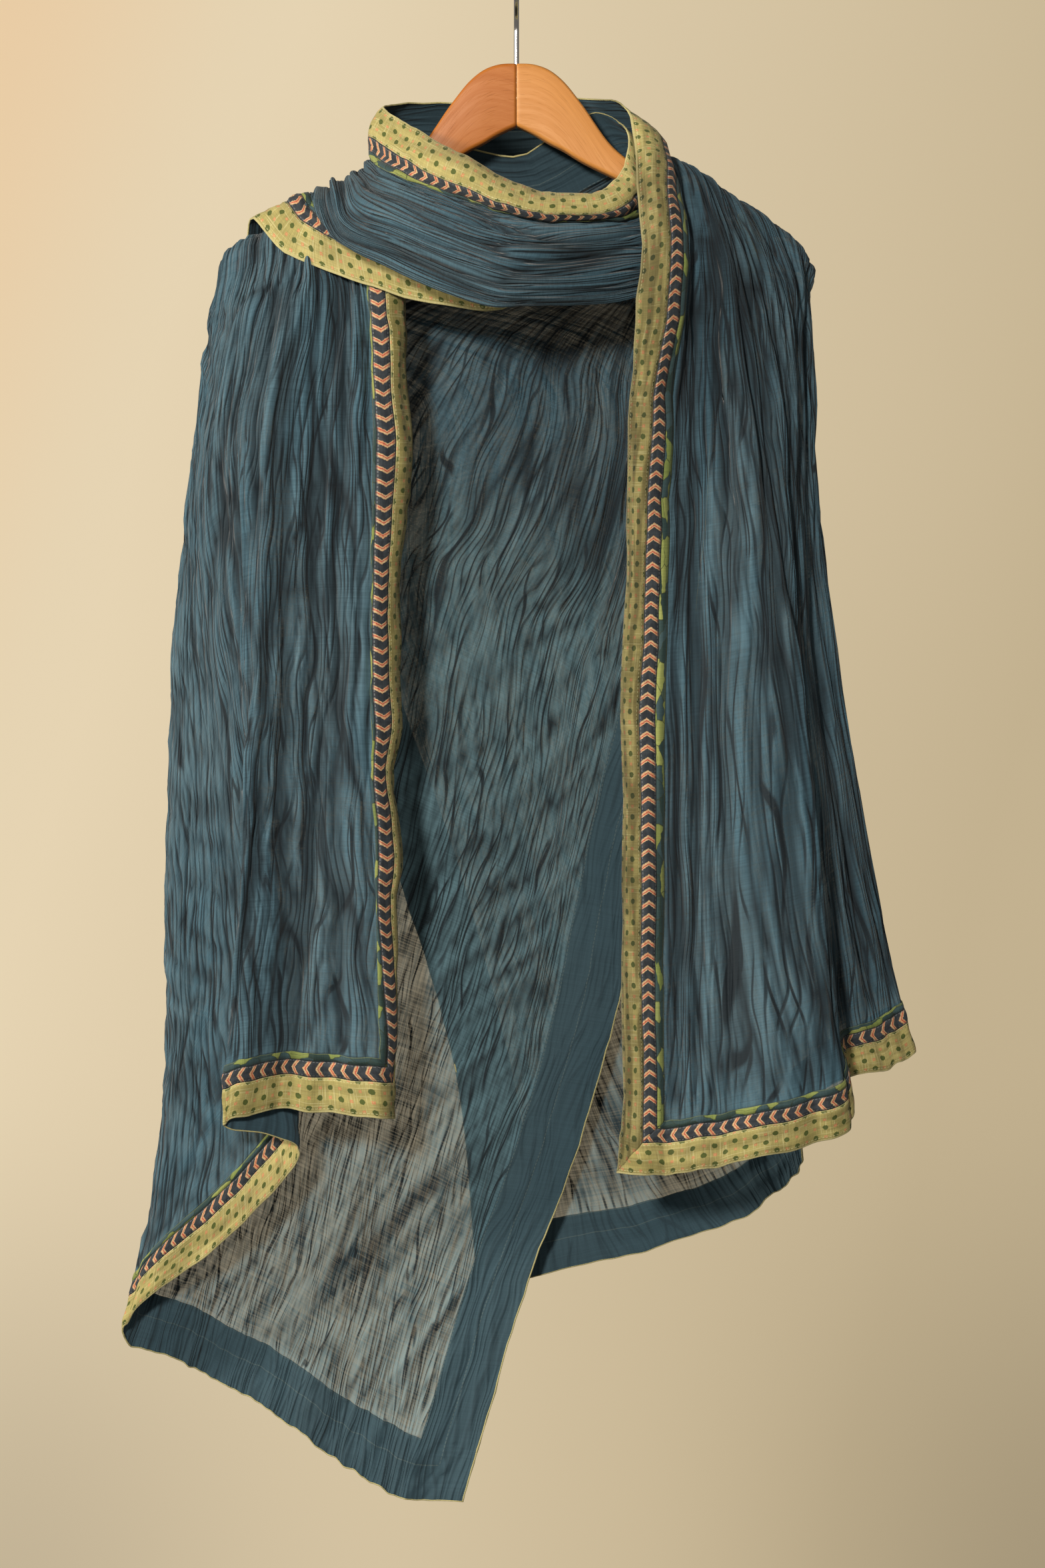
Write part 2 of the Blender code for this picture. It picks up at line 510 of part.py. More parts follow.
# ---------------------------------------------------------------- the hook
def hook_line():
    """The wire's centre line in Y and Z: shank, set, crook."""
    crook_z = CROWN_RISE - (CROOK_R - WIRE_R)
    shank = [(0.0, z) for z in np.linspace(HEAD_LOW, 24.0, 4)]
    first = math.radians(CROOK_FROM)
    end = (CROOK_R * math.cos(first), crook_z + CROOK_R * math.sin(first))
    lean = (math.sin(first), -math.cos(first))
    p0, p3 = (0.0, 24.0), end
    p1, p2 = (0.0, 34.0), (end[0] - 11 * lean[0], end[1] - 11 * lean[1])
    bend = []
    for s in np.linspace(0, 1, 7)[1:]:
        w = ((1 - s) ** 3, 3 * s * (1 - s) ** 2, 3 * s * s * (1 - s), s**3)
        bend.append(tuple(sum(wk * p[k] for wk, p in zip(w, (p0, p1, p2, p3))) for k in (0, 1)))
    crook = []
    for angle in np.linspace(CROOK_FROM, CROOK_TO, 21)[1:]:
        a = math.radians(angle)
        crook.append((CROOK_R * math.cos(a), crook_z + CROOK_R * math.sin(a)))
    return shank + bend + crook


def wire(name, line, radius, sides=10):
    """A round wire along a line in the Y-Z plane, with a head at its start and a rounded end."""
    line = [np.array((0.0, y, z)) for y, z in line]
    rings = []
    for k, here in enumerate(line):
        before, after = line[max(k - 1, 0)], line[min(k + 1, len(line) - 1)]
        run = unit(after - before)
        if k < 4:
            run = np.array((0.0, 0.0, 1.0))
        rings.append((here, run, radius))
    start, run = line[0], np.array((0.0, 0.0, 1.0))
    head = [(start, run, HEAD_R), (start + run * (HEAD_TOP - HEAD_LOW), run, HEAD_R),
            (start + run * (HEAD_TOP - HEAD_LOW + 0.01), run, radius)]
    rings = head + [r for r in rings[1:] if r[0][2] > HEAD_TOP + 1 or r[0][1] != 0.0]
    tip, run, _ = rings[-1]
    for angle in (30.0, 55.0, 78.0):
        a = math.radians(angle)
        rings.append((tip + run * radius * math.sin(a), run, radius * math.cos(a)))
    points, faces = [], []
    for here, run, r in rings:
        side = np.array((1.0, 0.0, 0.0))
        up = unit(np.cross(run, side))
        for k in range(sides):
            angle = 2 * math.pi * k / sides
            points.append(here + side * r * math.cos(angle) + up * r * math.sin(angle))
    for s in range(len(rings) - 1):
        for k in range(sides):
            a, b = s * sides + k, s * sides + (k + 1) % sides
            faces.append((a, b, b + sides, a + sides))
    faces.append(tuple(range(sides))[::-1])
    last = (len(rings) - 1) * sides
    faces.append(tuple(range(last, last + sides)))
    made = new_object(name, points, faces, CHROME)
    mesh = bmesh.new()
    mesh.from_mesh(made.data)
    bmesh.ops.recalc_face_normals(mesh, faces=mesh.faces)
    mesh.to_mesh(made.data)
    mesh.free()
    return made


hook = wire("hook", hook_line(), WIRE_R)
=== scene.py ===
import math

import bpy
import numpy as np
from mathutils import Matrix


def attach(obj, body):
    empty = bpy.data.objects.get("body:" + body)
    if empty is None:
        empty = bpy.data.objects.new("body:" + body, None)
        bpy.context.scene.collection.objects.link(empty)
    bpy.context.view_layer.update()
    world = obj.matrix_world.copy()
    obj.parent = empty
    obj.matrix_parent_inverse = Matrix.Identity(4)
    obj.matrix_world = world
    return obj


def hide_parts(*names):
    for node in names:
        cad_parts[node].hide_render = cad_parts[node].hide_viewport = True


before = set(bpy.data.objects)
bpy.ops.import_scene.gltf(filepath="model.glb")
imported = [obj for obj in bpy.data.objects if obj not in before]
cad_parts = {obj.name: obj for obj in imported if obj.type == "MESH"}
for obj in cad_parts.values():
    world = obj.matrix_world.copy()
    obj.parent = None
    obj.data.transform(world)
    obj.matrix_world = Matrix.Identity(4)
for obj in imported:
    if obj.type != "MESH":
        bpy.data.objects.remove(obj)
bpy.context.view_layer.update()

# Looks of the crinkled cotton dupatta on its wooden hanger. The cloth is one fine sheet laid on
# the same sections as the CAD solid, with its crinkle modelled in the mesh; the border strips,
# the hanger's two arms and the wire hook are fine meshes in place of their CAD nodes.

SEED = 4117

# ---------------------------------------------------------------- camera
camera_data = bpy.data.cameras.new("photo_camera")
camera_data.lens = 91.8
camera_data.sensor_width = 36.0
camera_data.sensor_fit = "AUTO"
camera_data.clip_start, camera_data.clip_end = 0.05, 60.0
camera = bpy.data.objects.new("photo_camera", camera_data)
camera.location = (0.0045, -3.0, -0.61775)
camera.rotation_euler = (math.pi / 2, 0.0, 0.0)
bpy.context.scene.collection.objects.link(camera)
bpy.context.scene.camera = camera
bpy.context.scene.view_settings.view_transform = "Standard"

# ---------------------------------------------------------------- sizes, as in the CAD, mm
CROWN_RISE = 78.0
CLOTH_LENGTH = 2250.0
CLOTH_WIDTH = 740.0
BORDER_GREEN = 27.0
BORDER_CHEVRON = 12.0
BORDER_LEAF = 6.0
BORDER = BORDER_GREEN + BORDER_CHEVRON + BORDER_LEAF
HANGER_SPAN = 424.0
HANGER_THICK = 14.0
WIRE_R = 1.9
CROOK_R = 20.0
CROOK_FROM, CROOK_TO = 215.0, -25.0

ACROSS = (0, 45, 95, 150, 190, 235, 295, 405, 505, 605, 695, 740)
SECTIONS = (
    # t, edge, seam, front, fold, tuck, flank, side, back, crease, rear, stitch, outer
    (   0, (-103,-5,-788),(-101,-41,-788),(-172,-34,-781),(-214,-40,-794),(-163,-8,-812),(-203,6,-867),(-288,20,-938),(-253,54,-982),(-194,54,-1014),(-132,50,-1059),(-85,46,-1085),(-41,44,-1086)),
    ( 150, (-93,-9,-640),(-102,-44,-639),(-160,-44,-639),(-205,-42,-646),(-175,-12,-667),(-212,0,-718),(-261,18,-797),(-219,54,-843),(-153,56,-878),(-97,54,-909),(-42,48,-934),(3,44,-937)),
    ( 330, (-86,-12,-458),(-106,-42,-461),(-156,-46,-461),(-197,-44,-469),(-203,-20,-480),(-226,-4,-520),(-258,14,-600),(-199,54,-652),(-122,58,-693),(-46,56,-725),(16,50,-762),(62,44,-768)),
    ( 515, (-82,-11,-269),(-105,-36,-271),(-148,-42,-272),(-191,-38,-273),(-216,-24,-280),(-237,-6,-306),(-248,12,-359),(-178,52,-438),(-82,56,-489),(10,56,-535),(58,48,-570),(102,42,-581)),
    ( 605, (-83,-12,-181),(-109,-28,-181),(-140,-32,-180),(-174,-31,-182),(-203,-25,-191),(-221,-11,-205),(-235,6,-229),(-152,48,-322),(-61,52,-382),(28,52,-428),(81,46,-469),(124,40,-486)),
    ( 680, (-85,-15,-92),(-118,-17,-112),(-144,-17,-126),(-167,-17,-138),(-192,-16,-150),(-211,-10,-159),(-227,4,-172),(-141,46,-251),(-33,50,-322),(57,50,-359),(96,44,-396),(135,38,-416)),
    ( 702, (-81,0,-64),(-121,0,-87),(-144,0,-100),(-167,0,-112),(-188,0,-122),(-206,0,-132),(-221,4,-150),(-138,45,-223),(-24,49,-296),(65,49,-329),(102,43,-364),(139,37,-386)),
    ( 724, (-78,15,-68),(-109,17,-95),(-131,18,-107),(-151,19,-119),(-169,20,-129),(-183,20,-139),(-191,19,-153),(-118,44,-203),(-8,47,-264),(73,47,-294),(107,42,-327),(143,36,-348)),
    ( 790, (-45,26,-58),(-61,36,-98),(-81,38,-107),(-95,39,-113),(-107,40,-119),(-114,41,-128),(-106,42,-140),(-61,44,-167),(10,45,-201),(77,43,-228),(113,38,-240),(148,32,-269)),
    ( 870, (5,32,-62),(20,40,-102),(32,42,-108),(43,42,-113),(53,42,-118),(63,42,-123),(75,41,-129),(87,40,-136),(99,38,-142),(111,35,-147),(125,31,-154),(161,24,-181)),
    ( 935, (60,26,-32),(89,19,-73),(95,19,-77),(100,18,-81),(105,18,-85),(111,18,-89),(117,18,-93),(123,18,-97),(129,17,-102),(135,17,-106),(141,17,-110),(179,15,-140)),
    ( 965, (77,14,-39),(105,0,-77),(109,0,-79),(113,0,-81),(118,0,-84),(123,0,-87),(128,0,-90),(133,0,-93),(138,0,-96),(143,0,-99),(149,0,-102),(189,0,-121)),
    ( 995, (84,2,-50),(104,-15,-92),(108,-16,-95),(112,-16,-98),(116,-16,-101),(120,-16,-104),(125,-16,-107),(130,-16,-110),(135,-16,-113),(140,-16,-116),(146,-16,-120),(182,-18,-147)),
    (1045, (79,-24,-82),(92,-34,-118),(99,-38,-126),(102,-42,-133),(105,-44,-139),(107,-45,-145),(110,-45,-152),(114,-44,-159),(119,-40,-164),(126,-31,-164),(132,-20,-163),(147,-14,-203)),
    (1100, (61,-42,-101),(68,-50,-124),(74,-57,-134),(75,-60,-142),(76,-62,-150),(75,-63,-159),(75,-63,-170),(76,-61,-178),(76,-54,-184),(79,-38,-155),(83,-24,-146),(93,-20,-187)),
    (1160, (27,-52,-104),(21,-60,-125),(18,-84,-140),(16,-88,-149),(14,-91,-158),(12,-92,-167),(10,-92,-177),(9,-90,-186),(8,-82,-192),(10,-58,-156),(12,-42,-147),(16,-38,-189)),
    (1230, (-6,-52,-94),(-15,-60,-117),(-21,-83,-132),(-25,-88,-141),(-28,-91,-150),(-31,-92,-160),(-33,-92,-171),(-33,-90,-180),(-31,-82,-187),(-29,-58,-154),(-27,-44,-148),(-20,-42,-191)),
    (1300, (-51,-38,-68),(-65,-50,-98),(-74,-68,-110),(-79,-73,-119),(-84,-76,-127),(-88,-78,-135),(-90,-78,-145),(-92,-76,-153),(-91,-69,-160),(-90,-52,-137),(-89,-40,-133),(-85,-38,-177)),
    (1350, (-82,-16,-47),(-98,-38,-86),(-104,-45,-95),(-110,-49,-101),(-116,-52,-109),(-122,-54,-115),(-128,-55,-123),(-132,-54,-130),(-136,-50,-135),(-139,-37,-121),(-141,-26,-116),(-138,-31,-160)),
    (1375, (-92,-6,-39),(-104,-22,-79),(-110,-26,-86),(-116,-29,-90),(-122,-31,-96),(-128,-33,-100),(-133,-34,-104),(-139,-33,-108),(-146,-29,-111),(-149,-21,-108),(-151,-13,-105),(-172,-23,-143)),
    (1400, (-100,4,-32),(-109,-4,-72),(-116,-3,-77),(-122,-2,-80),(-127,-1,-82),(-132,0,-84),(-137,0,-87),(-142,1,-90),(-147,1,-93),(-151,1,-95),(-156,1,-97),(-196,-6,-117)),
    (1445, (-77,40,-23),(-92,48,-62),(-100,50,-72),(-107,50,-79),(-114,50,-87),(-121,50,-94),(-129,50,-102),(-137,50,-110),(-146,49,-118),(-156,47,-127),(-169,44,-135),(-202,38,-163)),
    (1500, (-20,50,-18),(-23,60,-60),(-19,62,-75),(-17,63,-86),(-21,64,-98),(-29,65,-111),(-47,66,-128),(-74,66,-148),(-102,66,-168),(-130,65,-187),(-155,62,-201),(-197,56,-220)),
    (1560, (45,44,-18),(61,52,-58),(85,51,-70),(104,50,-83),(120,50,-95),(132,51,-109),(134,55,-131),(94,64,-170),(29,68,-205),(-51,69,-235),(-139,66,-258),(-182,61,-275)),
    (1612, (85,4,-36),(110,-7,-69),(127,-4,-75),(142,-3,-84),(159,-2,-95),(184,-2,-112),(218,5,-144),(151,58,-209),(61,67,-256),(-41,71,-292),(-129,68,-311),(-172,63,-326)),
    (1655, (90,-58,-110),(122,-58,-114),(138,-50,-115),(156,-38,-119),(175,-29,-128),(199,-18,-142),(217,5,-165),(155,62,-249),(57,70,-309),(-47,72,-347),(-119,70,-368),(-161,64,-381)),
    (1790, (86,-55,-255),(116,-60,-256),(147,-58,-250),(185,-48,-243),(201,-34,-239),(212,-18,-240),(219,6,-246),(161,62,-341),(72,71,-402),(-26,73,-446),(-88,70,-477),(-131,64,-489)),
    (1950, (81,-34,-433),(111,-50,-434),(149,-58,-428),(208,-49,-414),(212,-29,-404),(220,-10,-395),(229,11,-391),(175,60,-469),(100,70,-528),(14,73,-581),(-42,69,-610),(-86,62,-620)),
    (2110, (76,-31,-688),(108,-47,-688),(155,-60,-681),(234,-50,-660),(228,-24,-641),(250,-6,-623),(267,11,-612),(209,50,-670),(182,64,-726),(90,71,-775),(1,68,-785),(-45,60,-770)),
    (2250, (71,-34,-828),(108,-46,-828),(162,-60,-818),(250,-50,-793),(244,-20,-761),(274,-4,-756),(301,12,-739),(211,34,-789),(215,56,-835),(152,66,-880),(15,68,-917),(-30,60,-929)),
)

# Soft folds laid over the sections. "across" and "half" are the fold's middle and half
# width over the cloth, "start" and "end" where it runs along it, "rise" how far it stands
# out of the right side (a trough is negative).
FOLDS = (
    # name,              across, half, start, end, rise
    ("left_front_1",        96, 26,   20,  640,  -7.0),
    ("left_front_2",       140, 24,   10,  600,   5.0),
    ("left_side_1",        300, 34,    0,  520,   6.0),
    ("left_side_2",        372, 30,   40,  560,  -5.0),
    ("left_back_1",        450, 34,   60,  700,   6.0),
    ("left_back_2",        540, 36,   20,  680,  -6.0),
    ("left_back_3",        625, 30,  200,  760,   5.0),
    ("loop_1",             140, 44,  780, 1540,   1.6),
    ("loop_2",             225, 44,  780, 1540,  -1.6),
    ("loop_3",             310, 44,  780, 1540,   1.6),
    ("loop_4",             400, 44,  780, 1540,  -1.6),
    ("right_border_trough", 80, 22, 1640, 2190,  -8.0),
    ("right_front_1",      128, 24, 1650, 2250,   5.0),
    ("right_front_2",      158, 20, 1700, 2240,  -4.0),
    ("right_side_1",       300, 34, 1640, 2200,   5.0),
    ("right_back_1",       400, 36, 1580, 2120,  -6.0),
    ("right_back_2",       480, 34, 1560, 2150,   6.0),
    ("right_back_3",       570, 34, 1600, 2200,  -5.0),
)

HANGER = (
    # x, top, low, half of the thickness there
    (0, 0, -47, 7.0),
    (15, -1, -54, 7.0),
    (25, -5, -60, 7.0),
    (35, -13, -65, 7.0),
    (48, -29, -73, 7.0),
    (70, -60, -84, 7.0),
    (100, -82, -98, 7.0),
    (140, -104, -118, 7.0),
    (180, -124, -138, 7.0),
    (202, -139, -152, 6.6),
    (209, -146, -156, 5.0),
    (212, -150, -155, 2.6),
)


def unit(a):
    return a / (np.linalg.norm(a, axis=-1, keepdims=True) + 1e-12)


def through(points, knots, at):
    """The smooth curve through points, one at each knot, read off at these places."""
    points, knots, at = np.asarray(points, float), np.asarray(knots, float), np.asarray(at, float)
    shape = (-1,) + (1,) * (points.ndim - 1)
    step = np.diff(knots).reshape(shape)
    slope = (points[1:] - points[:-1]) / step
    tangent = np.empty_like(points)
    tangent[1:-1] = (slope[:-1] * step[1:] + slope[1:] * step[:-1]) / (step[1:] + step[:-1])
    tangent[0] = slope[0] * 1.5 - tangent[1] * 0.5
    tangent[-1] = slope[-1] * 1.5 - tangent[-2] * 0.5
    i = np.clip(np.searchsorted(knots, at, "right") - 1, 0, len(points) - 2)
    s = ((at - knots[i]) / np.diff(knots)[i]).reshape(shape)
    h = step[i]
    return (points[i] * (2 * s**3 - 3 * s**2 + 1) + points[i + 1] * (3 * s**2 - 2 * s**3)
            + tangent[i] * h * (s**3 - 2 * s**2 + s) + tangent[i + 1] * h * (s**3 - s**2))


def border_bow(outer, inner, along, s, side):
    """Across a border, from the cloth's edge (s = 0) to the border's seam (s = 1). Where they
    hang nearer than the border is wide, it bows to the right side and keeps its width."""
    chord = inner - outer
    span = np.linalg.norm(chord, axis=1, keepdims=True)
    bow = span * np.sqrt(np.maximum(0.375 * (BORDER / span - 1), 0))
    out = unit(np.cross(along, chord)) * side
    s = s[None, :, None]
    return outer[:, None] + chord[:, None] * s + (out * bow)[:, None] * 4 * s * (1 - s)


def fold_rise(t, v):
    """How far the soft folds lift the cloth, as a grid over t and v."""
    lift = np.zeros((len(t), len(v)))
    for _, across, half, start, end, rise in FOLDS:
        over = np.clip(1 - np.abs(v - across) / (1.6 * half), 0, 1)
        over = over * over * (3 - 2 * over)
        ends = np.clip((t - start) / 90 + 0.35, 0, 1) * np.clip((end - t) / 90 + 0.35, 0, 1)
        lift += rise * ends[:, None] * over[None, :]
    return lift


def arm_line(x):
    """Middle height, half height of the hanger's arm at x."""
    table = np.array([(row[0], row[1], row[2]) for row in HANGER], float)
    x = np.abs(x)
    top, low = np.interp(x, table[:, 0], table[:, 1]), np.interp(x, table[:, 0], table[:, 2])
    return (top + low) / 2, (top - low) / 2


def clear_of_hanger(points, clear=7.0):
    """Moves the cloth out to a rounded sleeve around the arms where it would come too near."""
    x, y, z = points[..., 0], points[..., 1], points[..., 2]
    middle, half = arm_line(x)
    reach_y, reach_z = HANGER_THICK / 2 + clear, half + clear
    past = np.maximum(np.abs(x) - (HANGER_SPAN / 2 - 15), 0) / (15 + clear)
    near = (np.abs(y / reach_y) ** 4 + np.abs((z - middle) / reach_z) ** 4 + past**4) ** 0.25
    grow = np.where(near < 1, 1 / np.maximum(near, 0.3), 1.0)
    out = points.copy()
    out[..., 1] = y * grow
    out[..., 2] = middle + (z - middle) * grow
    return out


def cloth_surface(t, v):
    """The cloth's middle surface at each of t (along) by each of v (across)."""
    t, v = np.asarray(t, float), np.asarray(v, float)
    along = np.array([row[0] for row in SECTIONS], float)
    named = np.array([row[1:] for row in SECTIONS], float)
    across = np.array(ACROSS, float)
    anchors = through(named, along, t)
    run = np.gradient(anchors, axis=0)
    between = np.clip(v, BORDER, CLOTH_WIDTH - BORDER)
    columns = np.swapaxes(through(np.swapaxes(named, 0, 1)[1:-1], across[1:-1], between), 0, 1)
    points = through(columns, along, t)
    front, outer = v <= BORDER, v >= CLOTH_WIDTH - BORDER
    points[:, front] = border_bow(anchors[:, 0], anchors[:, 1], run[:, 0] + run[:, 1],
                                  v[front] / BORDER, 1)
    points[:, outer] = border_bow(anchors[:, -1], anchors[:, -2], run[:, -1] + run[:, -2],
                                  (CLOTH_WIDTH - v[outer]) / BORDER, -1)
    # normals from fine differences, then the soft folds
    out = unit(np.cross(np.gradient(points, axis=0), np.gradient(points, axis=1)))
    points = points + out * fold_rise(t, v)[..., None]
    return clear_of_hanger(points)




def to_row(points):
    """Hanger-top millimetres to metres from the inside of the hook's crown."""
    return (np.asarray(points, float) - (0.0, 0.0, CROWN_RISE)) * 0.001


def ease(x):
    x = np.clip(x, 0, 1)
    return x * x * (3 - 2 * x)


# ---------------------------------------------------------------- seeded noise
def scatter(ix, iy, seed):
    """A repeatable number in 0..1 for each cell of a lattice."""
    h = (ix.astype(np.int64) * 374761393 + iy.astype(np.int64) * 668265263
         + (seed + SEED) * 1442695041) & 0xFFFFFFFF
    h = ((h ^ (h >> 13)) * 1274126177) & 0xFFFFFFFF
    h = ((h ^ (h >> 15)) * 2246822519) & 0xFFFFFFFF
    return ((h ^ (h >> 16)) & 0xFFFFFF) / float(0xFFFFFF)


def smooth_noise(x, y, seed):
    """Gradient noise, about -1..1."""
    ix, iy = np.floor(x), np.floor(y)
    fx, fy = x - ix, y - iy

    def corner(dx, dy):
        turn = scatter(ix + dx, iy + dy, seed) * 2 * math.pi
        return np.cos(turn) * (fx - dx) + np.sin(turn) * (fy - dy)

    u = fx**3 * (fx * (fx * 6 - 15) + 10)
    w = fy**3 * (fy * (fy * 6 - 15) + 10)
    low = corner(0, 0) * (1 - u) + corner(1, 0) * u
    high = corner(0, 1) * (1 - u) + corner(1, 1) * u
    return (low * (1 - w) + high * w) * 1.5


# ---------------------------------------------------------------- the cloth's fine grid
def lines_along():
    runs = [(0, 45, 3.0), (45, 640, 9.5), (640, 690, 9.0), (690, 718, 3.8), (718, 760, 8.5),
            (760, 930, 14.0), (930, 1000, 5.4), (1000, 1110, 7.8), (1110, 1290, 11.0),
            (1290, 1375, 7.8), (1375, 1425, 5.0), (1425, 1585, 13.0), (1585, 1640, 5.2),
            (1640, 1680, 8.5), (1680, 2205, 18.0), (2205, 2250, 3.0)]
    lines = []
    for start, stop, step in runs:
        n = max(1, int(round((stop - start) / step)))
        lines += list(np.linspace(start, stop, n, endpoint=False))
    return np.array(lines + [CLOTH_LENGTH])


def lines_wide():
    low = list(np.arange(0, BORDER, 3.0))
    n = int(round((CLOTH_WIDTH - 2 * BORDER) / 1.77))
    middle = list(np.linspace(BORDER, CLOTH_WIDTH - BORDER, n, endpoint=False))
    return np.array(low + middle + list(CLOTH_WIDTH - BORDER + np.arange(0, BORDER + 0.1, 3.0)))


T = lines_along()
V = lines_wide()
ROWS, COLS = len(T), len(V)

# Sharp folds seen in the photograph, narrower than the CAD's soft ones. "drift" is how far
# the fold wanders across the cloth on its way.
FINE_FOLDS = (
    # across, half, start, end, rise, drift
    (70, 7, 60, 690, -7.2, 6),
    (90, 6, 40, 640, -7.2, 10),
    (108, 6, 60, 560, -6.5, 12),
    (126, 7, 20, 620, -7.2, 12),
    (150, 7, 80, 660, -6.5, 12),
    (178, 7, 30, 600, -6.5, 12),
    (58, 5, 1660, 2200, -5.8, 3),
    (72, 6, 1640, 2200, -8.0, 4),
    (98, 7, 1640, 2180, -7.2, 10),
    (128, 7, 1660, 2200, -7.2, 10),
    (152, 7, 1640, 2230, -6.5, 10),
    (182, 7, 1650, 2150, -5.8, 10),
    (250, 8, 1640, 2230, -5.8, 14),
    (440, 9, 1620, 2180, -6.5, 18),
    (520, 9, 1640, 2200, -5.8, 18),
)


# Pleats that reach the hems, so that the hem's outline follows them
HEM_FOLDS = (
    # across, half, left or right hem, rise
    (98, 5.5, 0, -7.0), (72, 8, 0, -3.0), (124, 9, 0, 3.5), (300, 12, 0, -4.0), (345, 10, 0, 4.0),
    (430, 16, 0, 3.0), (560, 18, 0, -3.5),
    (84, 9, 1, -2.5), (108, 7, 1, 2.5), (128, 4.5, 1, -3.5), (152, 7, 1, -5.0), (180, 10, 1, 3.5),
    (208, 7, 1, -4.0), (300, 12, 1, -3.5), (460, 18, 1, 4.0), (560, 16, 1, -3.5),
)


def slant(t, v):
    """Share of the crinkle that runs slantwise: on the left side and back the creases cross the
    sections' lines. The second value is how far they have moved across by t."""
    share = ease((v - 205.0) / 55.0) * ease((690.0 - t) / 90.0)
    return share, t * (0.54 + 0.00045 * t)


def crinkle(points):
    """How far the crinkle lifts each grid point, in mm, and how deep in a crease it is, 0..1.
    The creases run along the cloth. Where the cloth is gathered, only the wider ones are
    left, so their spacing stays real."""
    t, v = np.meshgrid(T, V, indexing="ij")
    step = np.linalg.norm(np.gradient(points, axis=1), axis=-1) / np.gradient(V)[None, :]
    # gather read smoothly over the cloth
    for _ in range(6):
        step[1:-1] = (step[:-2] + 2 * step[1:-1] + step[2:]) / 4
    kernel = np.ones(45) / 45
    step = np.array([np.convolve(np.pad(r, 22, mode="edge"), kernel, "valid") for r in step])
    gather = np.clip(step, 0.05, 1.2)
    wander = 5.0 * smooth_noise(t / 150, v / 70, 11) + 2.2 * smooth_noise(t / 58, v / 34, 12)
    share, moved = slant(t, v)
    wander = wander + 1.6 * smooth_noise(t / 24, v / 13, 13)

    def field(across, heights, seed, longer, narrow):
        lift, deep = np.zeros_like(t), np.zeros_like(t)
        for k in range(8):
            apart = 4.6 * 1.7**k
            height = np.interp(np.log2(apart * gather), np.log2([3.0, 4.2, 6.0, 8.5, 13.0, 21.0, 36.0, 60.0]),
                               heights)
            height = height * (1.0 + 0.6 * np.clip(1.0 - gather, 0, 1))
            if height.max() <= 0:
                continue
            wide, long = 1.45 * apart, (80.0 + 32.0 * k) * longer
            reach = wander * min(1.0, 0.5 + wide / 40.0)
            n = (smooth_noise((across + reach) / wide, t / long, seed + 10 * k)
                 + 0.42 * smooth_noise((across + reach) / (0.62 * wide) + 5.3, t / (0.7 * long), seed + 3 + 10 * k))
            valley = np.exp(-np.abs(n) * 4.6)
            strength = np.clip(0.80 + 0.60 * smooth_noise(t / 130, across / (wide * 2.2), seed + 51 + k), 0.15, 1.35)
            lift -= height * strength * (valley - 0.34)
            deep = np.maximum(deep, np.minimum(valley**narrow * 1.15, 1) * strength * np.clip(height / 2.2, 0, 1))
        return lift, deep

    lift, deep = field(v, [0.0, 1.0, 2.0, 2.8, 3.4, 3.4, 2.3, 0.0], 100, 1.0, 1.7)
    lift_b, deep_b = field(v - moved, [0.0, 0.0, 0.6, 2.2, 3.0, 2.4, 1.4, 0.0], 500, 0.9, 2.0)
    lift, deep = lift * (1 - share) + lift_b * share, deep * (1 - share) + deep_b * share
    lift += 1.5 * smooth_noise((v + wander) / 30.0 * np.clip(gather, 0.3, 1), t / 260.0, 77)
    for across, half, start, end, rise, drift in FINE_FOLDS:
        centre = across + drift * smooth_noise(t / 190, np.full_like(t, across / 17.3), 90)
        over = np.exp(-(((v - centre) / half) ** 2))
        ends_ = ease((t - start) / 120 + 0.2) * ease((end - t) / 120 + 0.2)
        share = over * ends_ * (0.75 + 0.4 * smooth_noise(t / 110, v * 0 + across, 91))
        lift += rise * share
        deep = np.maximum(deep, 0.8 * share**3)
    return lift, np.clip(deep, 0, 1), t, v, gather, share


def normals_of(points):
    return unit(np.cross(np.gradient(points, axis=0), np.gradient(points, axis=1)))


def edge_distance(t, v):
    return np.minimum(np.minimum(t, CLOTH_LENGTH - t), np.minimum(v, CLOTH_WIDTH - v))


# How far the two front edges stand to the right of the smooth CAD section, by height
FRONT_SWAY = (
    # height, left edge | height, right edge
    ((-180, 0.0), (-202, 0.0), (-227, -2.0), (-252, 0.0), (-277, 2.5), (-302, 3.5), (-327, 0.5),
     (-352, -2.5), (-377, -4.0), (-402, -3.5), (-432, -2.0), (-452, -3.0), (-487, 1.0),
     (-507, 0.0), (-522, -4.5), (-534, -5.0), (-557, -1.5), (-577, 1.0), (-597, 3.0),
     (-627, -2.5), (-660, 0.0), (-790, 0.0)),
    ((-110, 0.0), (-227, -1.0), (-252, -3.0), (-277, -2.0), (-302, -2.0), (-352, -1.0),
     (-402, 0.0), (-430, 0.0), (-452, -2.0), (-477, -2.5), (-502, -3.5), (-527, -1.0),
     (-552, 1.0), (-602, 1.0), (-627, 2.5), (-652, 3.5), (-677, 2.0), (-702, 3.0), (-727, 5.0),
     (-775, 6.0), (-830, 4.5)),
)


